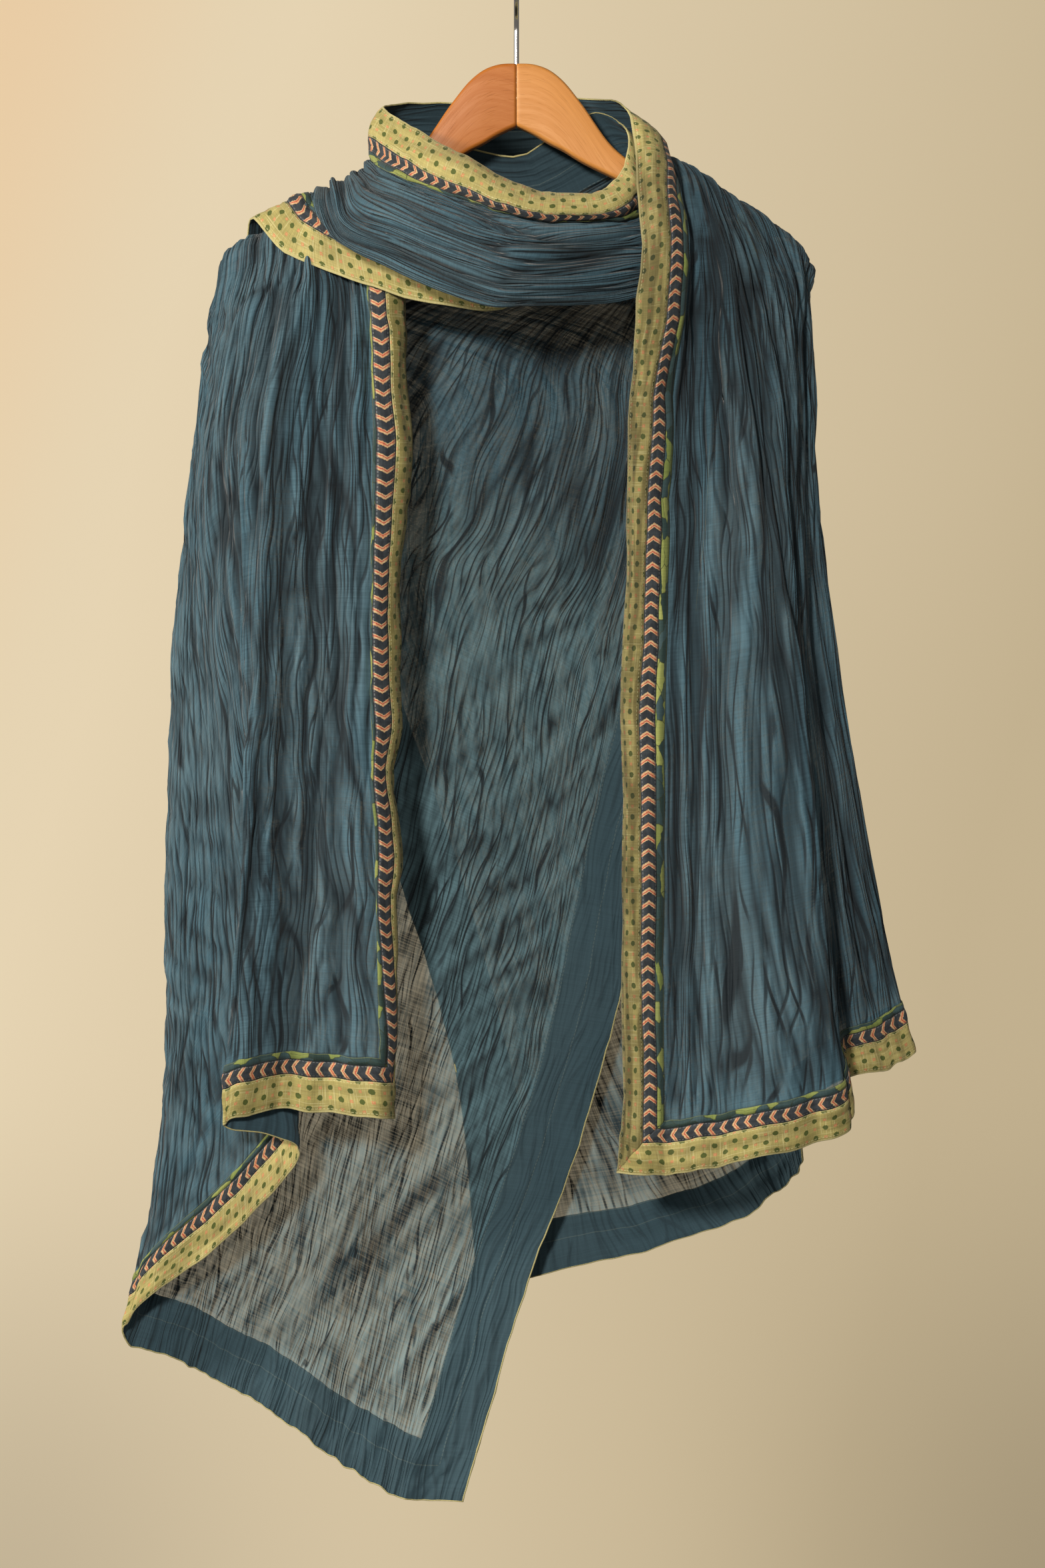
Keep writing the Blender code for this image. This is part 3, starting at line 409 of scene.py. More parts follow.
def swayed(points, t, v):
    """The front edges' own waves, the left border turned so that its leaf strip is nearly edge
    on, and hems that are not cut straight."""
    out = points.copy()
    z = points[:, 0, 2][:, None] + np.zeros_like(t)
    left, right = (np.array(table, float)[::-1] for table in FRONT_SWAY)
    fade = ease(1.0 - v / 62.0)
    on_left = ease((690 - t) / 60.0)
    on_right = ease((t - 1640) / 60.0)
    out[..., 0] += np.interp(z, left[:, 0], left[:, 1]) * fade * on_left
    out[..., 0] += np.interp(z, right[:, 0], right[:, 1]) * fade * on_right
    turned = on_left * ease((t - 20) / 160.0)
    out[..., 0] += turned * np.interp(v, [0, 13, 27, 39, 45, 60, 84], [0, -2.5, -4.5, -6.5, -1.5, -1.0, 0])
    out[..., 1] += turned * np.interp(v, [0, 13, 27, 39, 45, 60, 84], [0, -0.5, -1.0, -1.5, 3.0, 1.5, 0])
    # the cowl's dotted strip hangs, with the chevron tape and the leaf strip turned under it
    hangs = ease((t - 1050) / 60.0) * ease((1350 - t) / 50.0)
    out[..., 2] += hangs * np.interp(v, [0, 13, 27, 39, 45, 60], [0, -6.0, -10.0, -6.0, -1.0, 0])
    out[..., 1] += hangs * np.interp(v, [0, 13, 27, 39, 45, 60], [0, -1.0, -2.0, 0.5, 1.0, 0])
    # the loop's outer edge is drawn up behind the cowl towards the right
    drawn_up = ease((1240 - t) / 70.0) * ease((t - 1035) / 40.0)
    out[..., 2] += 9.0 * drawn_up * np.interp(v, [650, 695, 740], [0.0, 0.55, 1.0])
    # in the cloth's own plane, along it at the hems and across it at the long edges
    along = unit(np.gradient(points, axis=0))
    sideways = unit(np.gradient(points, axis=1))
    near_hem = ease(1.0 - np.minimum(t, CLOTH_LENGTH - t) / 90.0)
    near_edge = ease(1.0 - np.minimum(v, CLOTH_WIDTH - v) / 80.0)
    hem = 2.6 * smooth_noise(v / 30.0, t / 200.0, 401) + 1.3 * smooth_noise(v / 12.5, t / 120.0, 402)
    side = 1.6 * smooth_noise(t / 34.0, v / 200.0, 403) + 0.7 * smooth_noise(t / 15.0, v / 120.0, 404)
    hem *= ease(np.minimum(v, CLOTH_WIDTH - v) / 70.0)
    side *= ease(np.minimum(t, CLOTH_LENGTH - t) / 110.0)
    out += along * (hem * near_hem)[..., None] + sideways * (side * near_edge * (1 - near_hem))[..., None]
    return out


BASE = cloth_surface(T, V)
LIFT, CREASE, TT, VV, GATHER, SLANT = crinkle(BASE)
BASE = swayed(BASE, TT, VV)
EDGE = edge_distance(TT, VV)
# the folds run on into the border where it is seen from its wrong side
behind = ease((TT - 740.0) / 60.0) * ease((1040.0 - TT) / 60.0) + ease((TT - 1420.0) / 40.0) * ease((1640.0 - TT) / 40.0)
behind = np.maximum(ease((VV - 690.0) / 8.0), ease(1 - VV / 60.0) * behind)
inside = 0.20 + 0.25 * behind
inside = inside + (1 - inside) * ease((EDGE - 41.0) / 16.0)
waves = (1.7 * smooth_noise(TT / 46.0, VV / 46.0, 201) + 0.8 * smooth_noise(TT / 17.0, VV / 17.0, 202)
         + 1.9 * smooth_noise(TT / 70.0, VV / 13.0, 203) + 1.4 * smooth_noise(TT / 13.0, VV / 80.0, 204))
LIFT = LIFT * inside + waves * (1 - inside)
for across, half, at_right, rise in HEM_FOLDS:
    from_hem = CLOTH_LENGTH - TT if at_right else TT
    LIFT += rise * ease(np.minimum(VV, CLOTH_WIDTH - VV) / 60.0) * np.exp(-(((VV - across) / half) ** 2)) * ease(1.15 - from_hem / 120.0)
OUT = normals_of(BASE)
CLOTH = clear_of_hanger(BASE + OUT * LIFT[..., None], clear=3.0)
FACING = normals_of(CLOTH)


def new_object(name, points, faces, look, smooth=True):
    mesh = bpy.data.meshes.new(name)
    mesh.from_pydata([tuple(p) for p in to_row(points)], [], faces)
    mesh.materials.append(look)
    if smooth:
        mesh.polygons.foreach_set("use_smooth", np.ones(len(mesh.polygons), bool))
    mesh.update()
    made = bpy.data.objects.new(name, mesh)
    bpy.context.scene.collection.objects.link(made)
    return made


def give_places(made, places):
    """A UV map named "mm" that holds (along, across) in mm for each corner, from one pair per
    vertex. Patterns and weave are drawn in it at their real size."""
    mesh = made.data
    layer = mesh.uv_layers.new(name="mm")
    index = np.empty(len(mesh.loops), np.int32)
    mesh.loops.foreach_get("vertex_index", index)
    # stored at 1 mm = 0.001, as UV
    layer.data.foreach_set("uv", (np.asarray(places, np.float32)[index] * 0.001).ravel())


def give_value(made, name, values):
    layer = made.data.attributes.new(name, "FLOAT", "POINT")
    layer.data.foreach_set("value", np.asarray(values, np.float32).ravel())


# ---------------------------------------------------------------- materials
class Look:
    """A material's nodes, written as sums. Lengths inside it are mm."""

    def __init__(self, name):
        self.material = bpy.data.materials.new(name)
        self.material.use_nodes = True
        self.tree = self.material.node_tree
        self.shader = self.tree.nodes["Principled BSDF"]

    def node(self, kind, **settings):
        made = self.tree.nodes.new(kind)
        for key, value in settings.items():
            setattr(made, key, value)
        return made

    def feed(self, socket, value):
        if value is None:
            return
        if isinstance(value, bpy.types.NodeSocket):
            self.tree.links.new(value, socket)
        elif hasattr(socket.default_value, "__len__") and not hasattr(value, "__len__"):
            socket.default_value = [value] * len(socket.default_value)
        elif hasattr(value, "__len__") and len(socket.default_value) == 4 and len(value) == 3:
            socket.default_value = (*value, 1.0)
        else:
            socket.default_value = value

    def sum(self, operation, a, b=None, c=None, clamp=False):
        made = self.node("ShaderNodeMath", operation=operation, use_clamp=clamp)
        for socket, value in zip(made.inputs, (a, b, c)):
            self.feed(socket, value)
        return made.outputs[0]

    def add(self, a, b):
        return self.sum("ADD", a, b)

    def times(self, a, b):
        return self.sum("MULTIPLY", a, b)

    def ramp(self, value, low, high, start=0.0, end=1.0, kind="SMOOTHSTEP"):
        made = self.node("ShaderNodeMapRange", interpolation_type=kind, clamp=True)
        for key, number in (("From Min", low), ("From Max", high), ("To Min", start), ("To Max", end)):
            self.feed(made.inputs[key], number)
        self.feed(made.inputs["Value"], value)
        return made.outputs["Result"]

    def mix(self, share, a, b, blend="MIX"):
        made = self.node("ShaderNodeMix", data_type="RGBA", blend_type=blend)
        self.feed(made.inputs[0], share)
        self.feed(made.inputs[6], a)
        self.feed(made.inputs[7], b)
        return made.outputs[2]

    def vector(self, x, y, z=0.0):
        made = self.node("ShaderNodeCombineXYZ")
        for socket, value in zip(made.inputs, (x, y, z)):
            self.feed(socket, value)
        return made.outputs[0]

    def noise(self, x, y, z=0.0, detail=2.0, rough=0.5):
        made = self.node("ShaderNodeTexNoise", noise_dimensions="3D")
        self.feed(made.inputs["Vector"], self.vector(x, y, z))
        made.inputs["Scale"].default_value = 1.0
        made.inputs["Detail"].default_value = detail
        made.inputs["Roughness"].default_value = rough
        return made.outputs[0]

    def voronoi(self, x, y, feature="DISTANCE_TO_EDGE", jitter=1.0):
        made = self.node("ShaderNodeTexVoronoi", voronoi_dimensions="2D", feature=feature)
        self.feed(made.inputs["Vector"], self.vector(x, y))
        made.inputs["Scale"].default_value = 1.0
        made.inputs["Randomness"].default_value = jitter
        return made

    def places(self):
        """(along, across) in mm, from the UV map."""
        uv = self.node("ShaderNodeUVMap", uv_map="mm")
        parts = self.node("ShaderNodeSeparateXYZ")
        self.tree.links.new(uv.outputs[0], parts.inputs[0])
        return self.times(parts.outputs[0], 1000.0), self.times(parts.outputs[1], 1000.0)

    def value(self, name):
        made = self.node("ShaderNodeAttribute", attribute_name=name)
        return made.outputs["Fac"]

    def bump(self, height_mm, strength=1.0):
        made = self.node("ShaderNodeBump")
        made.inputs["Strength"].default_value = strength
        made.inputs["Distance"].default_value = 1.0
        self.feed(made.inputs["Height"], self.times(height_mm, 0.001))
        self.tree.links.new(made.outputs[0], self.shader.inputs["Normal"])

    def set(self, **values):
        for key, value in values.items():
            self.feed(self.shader.inputs[key.replace("_", " ")], value)


def threads(look, along, across, pitch=0.85, uneven=0.14):
    """Uneven yarns both ways: (colour variation about 1, height in mm)."""
    warp = look.noise(look.times(across, 1 / pitch), look.times(along, 1 / 34.0), 1.7, 0.0)
    weft = look.noise(look.times(across, 1 / 34.0), look.times(along, 1 / pitch), 5.3, 0.0)
    both = look.add(warp, weft)
    tone = look.ramp(both, 0.6, 1.4, 1 - uneven, 1 + uneven, "LINEAR")
    return tone, look.times(both, 0.16)


def stitch_line(look, along, across, at, pitch=3.2, wide=0.45):
    """1 on the stitches of a seam that runs at this distance across."""
    off = look.sum("ABSOLUTE", look.sum("SUBTRACT", across, at))
    line = look.ramp(off, wide * 0.5, wide, 1.0, 0.0)
    dash = look.sum("FRACT", look.times(along, 1 / pitch))
    dashed = look.times(look.ramp(dash, 0.04, 0.12), look.ramp(dash, 0.66, 0.76, 1.0, 0.0))
    return look.times(line, dashed)


def fine_lines(look, along, across, apart, long, seed, wide=1.0):
    """Thin lines that wander along the cloth: (1 on a line, height between them 0..1)."""
    bend = look.noise(look.times(across, 1 / (2.4 * apart)), look.times(along, 1 / long), seed, 0.0)
    place = look.sum("FRACT", look.add(look.times(across, 1 / apart), look.times(bend, 3.0)))
    off = look.sum("ABSOLUTE", look.sum("SUBTRACT", place, 0.5))
    return look.ramp(off, 0.055 * wide, 0.150 * wide, 1.0, 0.0), look.ramp(off, 0.0, 0.30)


def blue_cotton():
    look = Look("blue_cotton_crinkled")
    along, across = look.places()
    height, edge, crease = look.value("lift"), look.value("edge"), look.value("crease")
    gather = look.value("gather")
    wander = look.times(look.sum("SUBTRACT", look.noise(look.times(along, 1 / 46.0), look.times(across, 1 / 24.0), 3.1, 0.0), 0.5), 8.0)
    moved = look.add(across, wander)
    # where the cloth is gathered the lines are drawn wider apart, so they stay real
    loose = look.ramp(gather, 0.36, 0.56)
    tight = look.sum("SUBTRACT", 1.0, loose)
    # slantwise on the left side and back
    slant = look.value("slant")
    level = look.sum("SUBTRACT", 1.0, slant)
    across_b = look.sum("SUBTRACT", moved, look.times(along, look.add(look.times(along, 0.00045), 0.54)))
    main = fine_lines(look, along, moved, 11.0, 95.0, 1.3, 0.70)
    open_ = fine_lines(look, along, moved, 5.4, 64.0, 3.3, 1.0)
    tight_ = fine_lines(look, along, moved, 13.0, 80.0, 4.9, 0.9)
    slant_main = fine_lines(look, along, across_b, 12.0, 105.0, 6.1, 0.75)
    slant_fine = fine_lines(look, along, across_b, 5.8, 60.0, 7.7, 1.0)

    def together(k, share_main, share_fine):
        straight = look.add(look.times(tight_[k], tight), look.times(loose, look.sum(
            "MAXIMUM", look.times(main[k], share_main), look.times(open_[k], share_fine)) if k == 0 else look.add(
            look.times(main[k], share_main), look.times(open_[k], share_fine))))
        slanted = (look.sum("MAXIMUM", look.times(slant_main[k], share_main), look.times(slant_fine[k], share_fine))
                   if k == 0 else look.add(look.times(slant_main[k], share_main), look.times(slant_fine[k], share_fine)))
        return look.add(look.times(slanted, slant), look.times(straight, level))

    line, high = together(0, 1.0, 0.88), together(1, 0.62, 0.38)
    inside = look.ramp(edge, 42.0, 50.0, 0.62, 1.0)
    tone, yarn = threads(look, along, across, 0.9, 0.085)
    # dye: dusky blue, a little greyer and browner in patches
    patch = look.noise(look.times(along, 1 / 150.0), look.times(across, 1 / 60.0), 8.0, 1.0)
    blue = look.mix(look.ramp(patch, 0.35, 0.68), (0.066, 0.142, 0.190), (0.088, 0.164, 0.209))
    # painted shade: darker in the crinkle's low valleys, less where the creases slant
    low = look.times(look.ramp(height, -4.5, -0.6, 1.0, 0.0), look.sum("SUBTRACT", 1.0, look.times(slant, 0.7)))
    blue = look.mix(look.times(low, 0.50), blue, (0.030, 0.040, 0.044))
    # painted light: the back and the inside are paler, to brighten them where the front panels shade them
    hangs = look.sum("MAXIMUM", look.ramp(along, 640.0, 720.0, 1.0, 0.0), look.ramp(along, 1620.0, 1690.0))
    painted_back_light = look.times(look.times(look.ramp(across, 330.0, 430.0), hangs), look.ramp(edge, 30.0, 60.0, 0.25, 1.0))
    blue = look.mix(look.times(painted_back_light, 0.72), blue, (0.138, 0.245, 0.283))
    # painted shade: the left side darker towards its edge
    painted_side_shade = look.times(slant, look.ramp(across, 310.0, 380.0, 1.0, 0.0))
    blue = look.mix(look.times(painted_side_shade, 0.42), blue, (0.032, 0.070, 0.092))
    # painted shade: dark behind the neck, where it lies in many small folds
    first = look.times(look.ramp(along, 750.0, 800.0), look.ramp(along, 925.0, 965.0, 1.0, 0.0))
    second = look.times(look.ramp(along, 1430.0, 1470.0), look.ramp(along, 1560.0, 1600.0, 1.0, 0.0))
    painted_neck_shade = look.times(look.sum("MAXIMUM", first, second), look.ramp(across, 190.0, 250.0, 1.0, 0.0))
    blue = look.mix(look.times(painted_neck_shade, 0.50), blue, (0.022, 0.036, 0.046))
    # painted highlight: paler on the crinkle's raised ridges
    painted_ridge_light = look.times(look.times(look.ramp(height, 0.8, 3.0), high), 0.36)
    blue = look.mix(painted_ridge_light, blue, (0.100, 0.185, 0.235))
    # painted shade: thin dark lines in the fine creases
    fade = look.ramp(look.noise(look.times(along, 1 / 46.0), look.times(across, 1 / 10.0), 6.6, 0.0), 0.36, 0.56, 0.22, 1.0)
    drawn = look.times(look.times(line, inside), look.times(fade, 0.96))
    blue = look.mix(drawn, blue, (0.012, 0.018, 0.023))
    # painted shade: darker deep in the creases
    crease = look.times(crease, 0.94)
    blue = look.mix(crease, blue, (0.012, 0.018, 0.023))
    # the wrong side of the border is backed by its strips, so it is close and dark
    backed = look.ramp(edge, 44.6, 46.2, 1.0, 0.0)
    blue = look.mix(look.times(backed, 0.80), blue, (0.025, 0.048, 0.062))
    blue = look.mix(1.0, blue, look.vector(tone, tone, tone), "MULTIPLY")
    # stitches of the border's seams show on both sides, pale where they catch the light
    seam = look.sum("MAXIMUM", stitch_line(look, along, edge, 26.0, 3.0), stitch_line(look, along, edge, 44.3, 3.0))
    seam2 = stitch_line(look, across, edge, 26.0, 3.0)
    blue = look.mix(look.times(look.sum("MAXIMUM", seam, seam2), 0.30), blue, (0.16, 0.20, 0.18))
    look.set(Base_Color=blue, Roughness=0.86, Sheen_Weight=0.10, Sheen_Roughness=0.45,
             Specular_IOR_Level=0.22)
    # sheer in one layer: yarns with light between them, closer in a crease and in the borders
    open_weave = look.ramp(yarn, 0.10, 0.20, -0.10, 0.06, "LINEAR")
    sheer = look.add(look.add(look.ramp(across, 330.0, 430.0, 0.80, 0.75), open_weave), look.times(low, 0.08))
    sheer = look.add(sheer, look.times(look.sum("MAXIMUM", drawn, crease), 0.22))
    look.set(Alpha=look.sum("MAXIMUM", look.sum("MINIMUM", sheer, 1.0), backed))
    crease_rise = look.times(high, 1.7)
    look.bump(look.add(look.times(crease_rise, inside), look.times(yarn, 0.55)), 1.0)
    return look.material


def dotted_cotton():
    look = Look("dotted_cotton_slub")
    along, across = look.places()
    tone, yarn = threads(look, along, across, 0.8)
    patch = look.noise(look.times(along, 1 / 60.0), look.times(across, 1 / 24.0), 2.0, 2.0)
    green = look.mix(look.ramp(patch, 0.3, 0.7), (0.320, 0.278, 0.094), (0.410, 0.352, 0.134))
    green = look.mix(1.0, green, look.vector(tone, tone, tone), "MULTIPLY")
    # a dark slub yarn now and then
    slub = look.noise(look.times(along, 1 / 0.9), look.times(across, 1 / 22.0), 9.0, 0.0)
    green = look.mix(look.ramp(slub, 0.70, 0.78, 0.0, 0.35), green, (0.20, 0.20, 0.07))
    pale_a = look.ramp(look.noise(look.times(along, 1 / 1.1), look.times(across, 1 / 30.0), 13.0, 0.0), 0.66, 0.74, 0.0, 0.45)
    pale_b = look.ramp(look.noise(look.times(along, 1 / 30.0), look.times(across, 1 / 1.1), 17.0, 0.0), 0.66, 0.74, 0.0, 0.45)
    green = look.mix(look.sum("MAXIMUM", pale_a, pale_b), green, (0.58, 0.53, 0.27))
    # printed dots on a staggered lattice, green and coral by turns, each a little off its place
    step = 7.8
    shift = look.times(look.sum("SUBTRACT", look.noise(look.times(along, 1 / 9.0), look.times(across, 1 / 9.0), 4.0), 0.5), 1.6)
    u, w = look.times(look.add(along, shift), 1 / step), look.times(look.add(look.add(across, 0.6), shift), 1 / step)
    cell = look.add(look.sum("FLOOR", u), look.sum("FLOOR", w))
    odd = look.sum("MODULO", look.sum("ABSOLUTE", cell), 2.0)
    du = look.sum("SUBTRACT", look.sum("FRACT", u), 0.5)
    dw = look.sum("SUBTRACT", look.sum("FRACT", w), 0.5)
    r = look.times(look.sum("SQRT", look.add(look.times(du, du), look.times(dw, dw))), step)
    ragged = look.times(look.sum("SUBTRACT", look.noise(along, across, 6.0, 1.0), 0.5), 0.9)
    r = look.add(r, ragged)
    dot = look.times(look.ramp(r, 1.90, 2.30, 1.0, 0.0), look.sum("LESS_THAN", odd, 0.5))
    angle = look.sum("ARCTAN2", du, dw)
    petal = look.times(look.sum("COSINE", look.times(angle, 4.0)), 0.28)
    bud = look.times(look.ramp(look.add(r, petal), 1.05, 1.45, 1.0, 0.0), look.sum("GREATER_THAN", odd, 0.5))
    heart = look.times(look.ramp(r, 0.35, 0.6, 1.0, 0.0), bud)
    green = look.mix(look.times(bud, 0.85), green, (0.560, 0.200, 0.100))
    green = look.mix(look.times(heart, 0.6), green, (0.50, 0.42, 0.16))
    green = look.mix(look.times(dot, 0.93), green, (0.050, 0.078, 0.012))
    core = look.times(look.ramp(r, 0.3, 0.9, 1.0, 0.0), dot)
    green = look.mix(look.times(core, 0.35), green, (0.10, 0.12, 0.02))
    # painted shade in its soft folds, most on the right front border
    shade = look.value("shade")
    long_fold = look.ramp(look.noise(look.times(along, 1 / 55.0), look.times(across, 1 / 7.5), 21.0, 1.0), 0.40, 0.60)
    short_fold = look.ramp(look.noise(look.times(along, 1 / 11.0), look.times(across, 1 / 50.0), 23.0, 1.0), 0.50, 0.66)
    painted_fold_shade = look.times(look.sum("MAXIMUM", long_fold, look.times(short_fold, 0.6)), shade)
    green = look.mix(painted_fold_shade, green, look.mix(1.0, green, (0.42, 0.40, 0.34), "MULTIPLY"))
    # turned edges catch the light; stitches beside the chevron tape
    rim = look.sum("MAXIMUM", look.ramp(across, 0.5, 1.5, 1.0, 0.0), look.ramp(across, 25.9, 26.5))
    green = look.mix(look.times(rim, 0.4), green, (0.56, 0.52, 0.28))
    sewn = look.sum("MAXIMUM", stitch_line(look, along, across, 25.0, 2.8), stitch_line(look, along, across, 2.6, 2.8))
    green = look.mix(look.times(sewn, 0.5), green, (0.60, 0.57, 0.30))
    # painted shade: the whole strip darker where its shade value is high, most on the right front border
    painted_strip_shade = look.sum("SUBTRACT", 1.0, look.times(look.ramp(shade, 0.3, 0.95), 0.44))
    green = look.mix(1.0, green, look.vector(painted_strip_shade, painted_strip_shade, painted_strip_shade), "MULTIPLY")
    look.set(Base_Color=green, Roughness=0.8, Sheen_Weight=0.08, Sheen_Roughness=0.5,
             Specular_IOR_Level=0.3)
    pucker = look.noise(look.times(along, 1 / 7.0), look.times(across, 1 / 10.0), 1.0, 2.0)
    look.bump(look.add(look.add(yarn, look.times(pucker, 0.9)), look.times(sewn, -0.18)), 0.8)
    return look.material


def chevron_cotton():
    look = Look("chevron_cotton_printed")
    along, across = look.places()
    tone, yarn = threads(look, along, across, 0.8)
    point = look.value("point")
    ragged = look.times(look.sum("SUBTRACT", look.noise(look.times(along, 0.8), look.times(across, 0.8), 2.0, 2.0), 0.5), 1.5)
    side = look.sum("ABSOLUTE", look.sum("SUBTRACT", across, BORDER_GREEN + BORDER_CHEVRON / 2))
    run = look.add(look.add(look.times(along, point), look.times(side, -0.66)), ragged)
    phase = look.sum("FRACT", look.add(look.times(run, 1 / 9.6), 100.0))
    cream = look.times(look.ramp(phase, 0.58, 0.62), look.ramp(phase, 0.92, 0.96, 1.0, 0.0))
    red = look.times(look.ramp(phase, 0.74, 0.77), look.ramp(phase, 0.83, 0.86, 1.0, 0.0))
    blot = look.noise(look.times(along, 1 / 11.0), look.times(across, 1 / 5.0), 12.0, 2.0)
    navy = look.mix(look.ramp(blot, 0.35, 0.65), (0.017, 0.021, 0.027), (0.034, 0.042, 0.050))
    pale = look.mix(look.ramp(blot, 0.42, 0.66), (0.50, 0.35, 0.19), (0.50, 0.26, 0.13))
    colour = look.mix(look.times(cream, look.ramp(blot, 0.24, 0.34, 0.55, 1.0)), navy, pale)
    colour = look.mix(look.times(red, 0.90), colour, (0.40, 0.040, 0.028))
    selvedge = look.sum("MAXIMUM", look.ramp(across, BORDER_GREEN + 0.5, BORDER_GREEN + 1.1, 1.0, 0.0),
                        look.ramp(across, BORDER_GREEN + BORDER_CHEVRON - 1.1, BORDER_GREEN + BORDER_CHEVRON - 0.5))
    colour = look.mix(look.times(selvedge, 0.85), colour, (0.018, 0.024, 0.032))
    colour = look.mix(1.0, colour, look.vector(tone, tone, tone), "MULTIPLY")
    sewn = look.sum("MAXIMUM", stitch_line(look, along, across, BORDER_GREEN + 1.3, 2.8),
                    stitch_line(look, along, across, BORDER_GREEN + BORDER_CHEVRON - 1.0, 2.8))
    colour = look.mix(look.times(sewn, 0.4), colour, (0.22, 0.24, 0.25))
    look.set(Base_Color=colour, Roughness=0.82, Sheen_Weight=0.08, Sheen_Roughness=0.5,
             Specular_IOR_Level=0.3)
    look.bump(look.add(yarn, look.times(sewn, -0.15)), 0.8)
    return look.material


def leaf_cotton():
    look = Look("leaf_cotton_printed")
    along, across = look.places()
    tone, yarn = threads(look, along, across, 0.8)
    sway = look.times(look.noise(look.times(along, 1 / 12.0), look.times(across, 1 / 6.0), 1.0), 5.0)
    cells = look.voronoi(look.times(look.add(along, sway), 1 / 15.0), look.times(look.add(across, sway), 1 / 5.0), "F1")
    edge = look.voronoi(look.times(look.add(along, sway), 1 / 15.0), look.times(look.add(across, sway), 1 / 5.0))
    parts = look.node("ShaderNodeSeparateColor")
    look.tree.links.new(cells.outputs["Color"], parts.inputs[0])
    pick = parts.outputs[0]
    teal = look.mix(parts.outputs[1], (0.016, 0.036, 0.030), (0.036, 0.070, 0.078))
    leaf = look.mix(parts.outputs[2], (0.150, 0.195, 0.050), (0.250, 0.275, 0.080))
    colour = look.mix(look.ramp(pick, 0.60, 0.64), teal, leaf)
    vein = look.ramp(edge.outputs["Distance"], 0.015, 0.05, 1.0, 0.0)
    colour = look.mix(look.times(vein, 0.7), colour, (0.022, 0.030, 0.014))
    rim = look.ramp(across, BORDER - 0.9, BORDER - 0.3)
    colour = look.mix(look.times(rim, 0.35), colour, (0.22, 0.25, 0.10))
    colour = look.mix(1.0, colour, look.vector(tone, tone, tone), "MULTIPLY")
    look.set(Base_Color=colour, Roughness=0.82, Sheen_Weight=0.08, Sheen_Roughness=0.5,
             Specular_IOR_Level=0.3)
    look.bump(yarn, 0.8)
    return look.material


def varnished_wood(name, light, dark, seed):
    look = Look(name)
    along, across = look.places()
    bend = look.times(look.noise(look.times(along, 1 / 70.0), look.times(across, 1 / 40.0), seed, 1.0), 9.0)
    slant = look.add(across, look.times(along, 0.35 if seed < 5 else -0.12))
    rings = look.noise(look.times(along, 1 / 120.0), look.times(look.add(slant, bend), 1 / 5.0), seed + 3.0, 4.0, 0.66)
    pores = look.noise(look.times(along, 1 / 14.0), look.times(across, 1 / 0.55), seed + 7.0, 1.0)
    colour = look.mix(look.ramp(rings, 0.30, 0.72, 0.0, 0.62), light, dark)
    colour = look.mix(look.ramp(pores, 0.60, 0.74, 0.0, 0.30), colour, tuple(c * 0.42 for c in dark))
    look.set(Base_Color=colour, Roughness=look.ramp(rings, 0.3, 0.7, 0.42, 0.56), Coat_Weight=0.10,
             Coat_Roughness=0.28, Specular_IOR_Level=0.28)
    look.bump(look.add(look.times(rings, 0.10), look.times(look.ramp(pores, 0.60, 0.74), -0.06)), 0.7)
    return look.material


def chrome_wire():
    look = Look("chrome_wire_bright")
    along, across = look.places()
    wear = look.noise(look.times(along, 1 / 9.0), look.times(across, 1 / 4.0), 2.0, 3.0)
    drawn = look.noise(look.times(along, 1 / 30.0), look.times(across, 1 / 0.25), 5.0, 1.0)
    colour = look.mix(look.ramp(wear, 0.4, 0.8), (0.72, 0.72, 0.73), (0.58, 0.57, 0.55))
    look.set(Base_Color=colour, Metallic=1.0, Roughness=look.ramp(wear, 0.35, 0.75, 0.10, 0.24))
    look.bump(look.times(drawn, 0.012), 0.6)
    return look.material


BLUE = blue_cotton()
GREEN = dotted_cotton()
CHEVRON = chevron_cotton()
LEAF = leaf_cotton()
WOOD_LEFT = varnished_wood("varnished_wood_left", (0.42, 0.136, 0.020), (0.34, 0.096, 0.013), 1.0)
WOOD_RIGHT = varnished_wood("varnished_wood_right", (0.56, 0.240, 0.058), (0.46, 0.180, 0.037), 14.0)
CHROME = chrome_wire()


# ---------------------------------------------------------------- the cloth
def cloth_sheet():
    index = np.arange(ROWS * COLS).reshape(ROWS, COLS)
    a, b = index[:-1, :-1].ravel(), index[1:, :-1].ravel()
    c, d = index[1:, 1:].ravel(), index[:-1, 1:].ravel()
    # where the creases slant, triangles whose long side lies along them
    slanting = (SLANT[:-1, :-1].ravel() > 0.5)
    faces = np.stack([a, b, c, d], 1)[~slanting].tolist()
    faces += np.stack([a, b, c], 1)[slanting].tolist() + np.stack([a, c, d], 1)[slanting].tolist()
    made = new_object("crinkled_cotton", CLOTH.reshape(-1, 3), faces, BLUE)
    give_places(made, np.stack([TT.ravel(), VV.ravel()], 1))
    give_value(made, "lift", LIFT)
    give_value(made, "edge", EDGE)
    give_value(made, "crease", CREASE * ease((EDGE - 43.0) / 8.0))
    give_value(made, "gather", GATHER)
    give_value(made, "slant", SLANT)
    return made


def lines_at(lines, value):
    """Cell number and share within it, which runs past 0..1 outside the cloth."""
    k = np.clip(np.searchsorted(lines, value, "right") - 1, 0, len(lines) - 2)
    return k, (value - lines[k]) / (lines[k + 1] - lines[k])


def on_cloth(t, v, offset):
    """Points this far out of the cloth's fine surface."""
    i, a = lines_at(T, t)
    j, b = lines_at(V, v)
    a, b = a[..., None], b[..., None]

    def read(grid, a, b):
        return ((grid[i, j] * (1 - a) + grid[i + 1, j] * a) * (1 - b)
                + (grid[i, j + 1] * (1 - a) + grid[i + 1, j + 1] * a) * b)

    out = unit(read(FACING, np.clip(a, 0, 1), np.clip(b, 0, 1)))
    return read(CLOTH, a, b) + out * np.asarray(offset)[..., None]


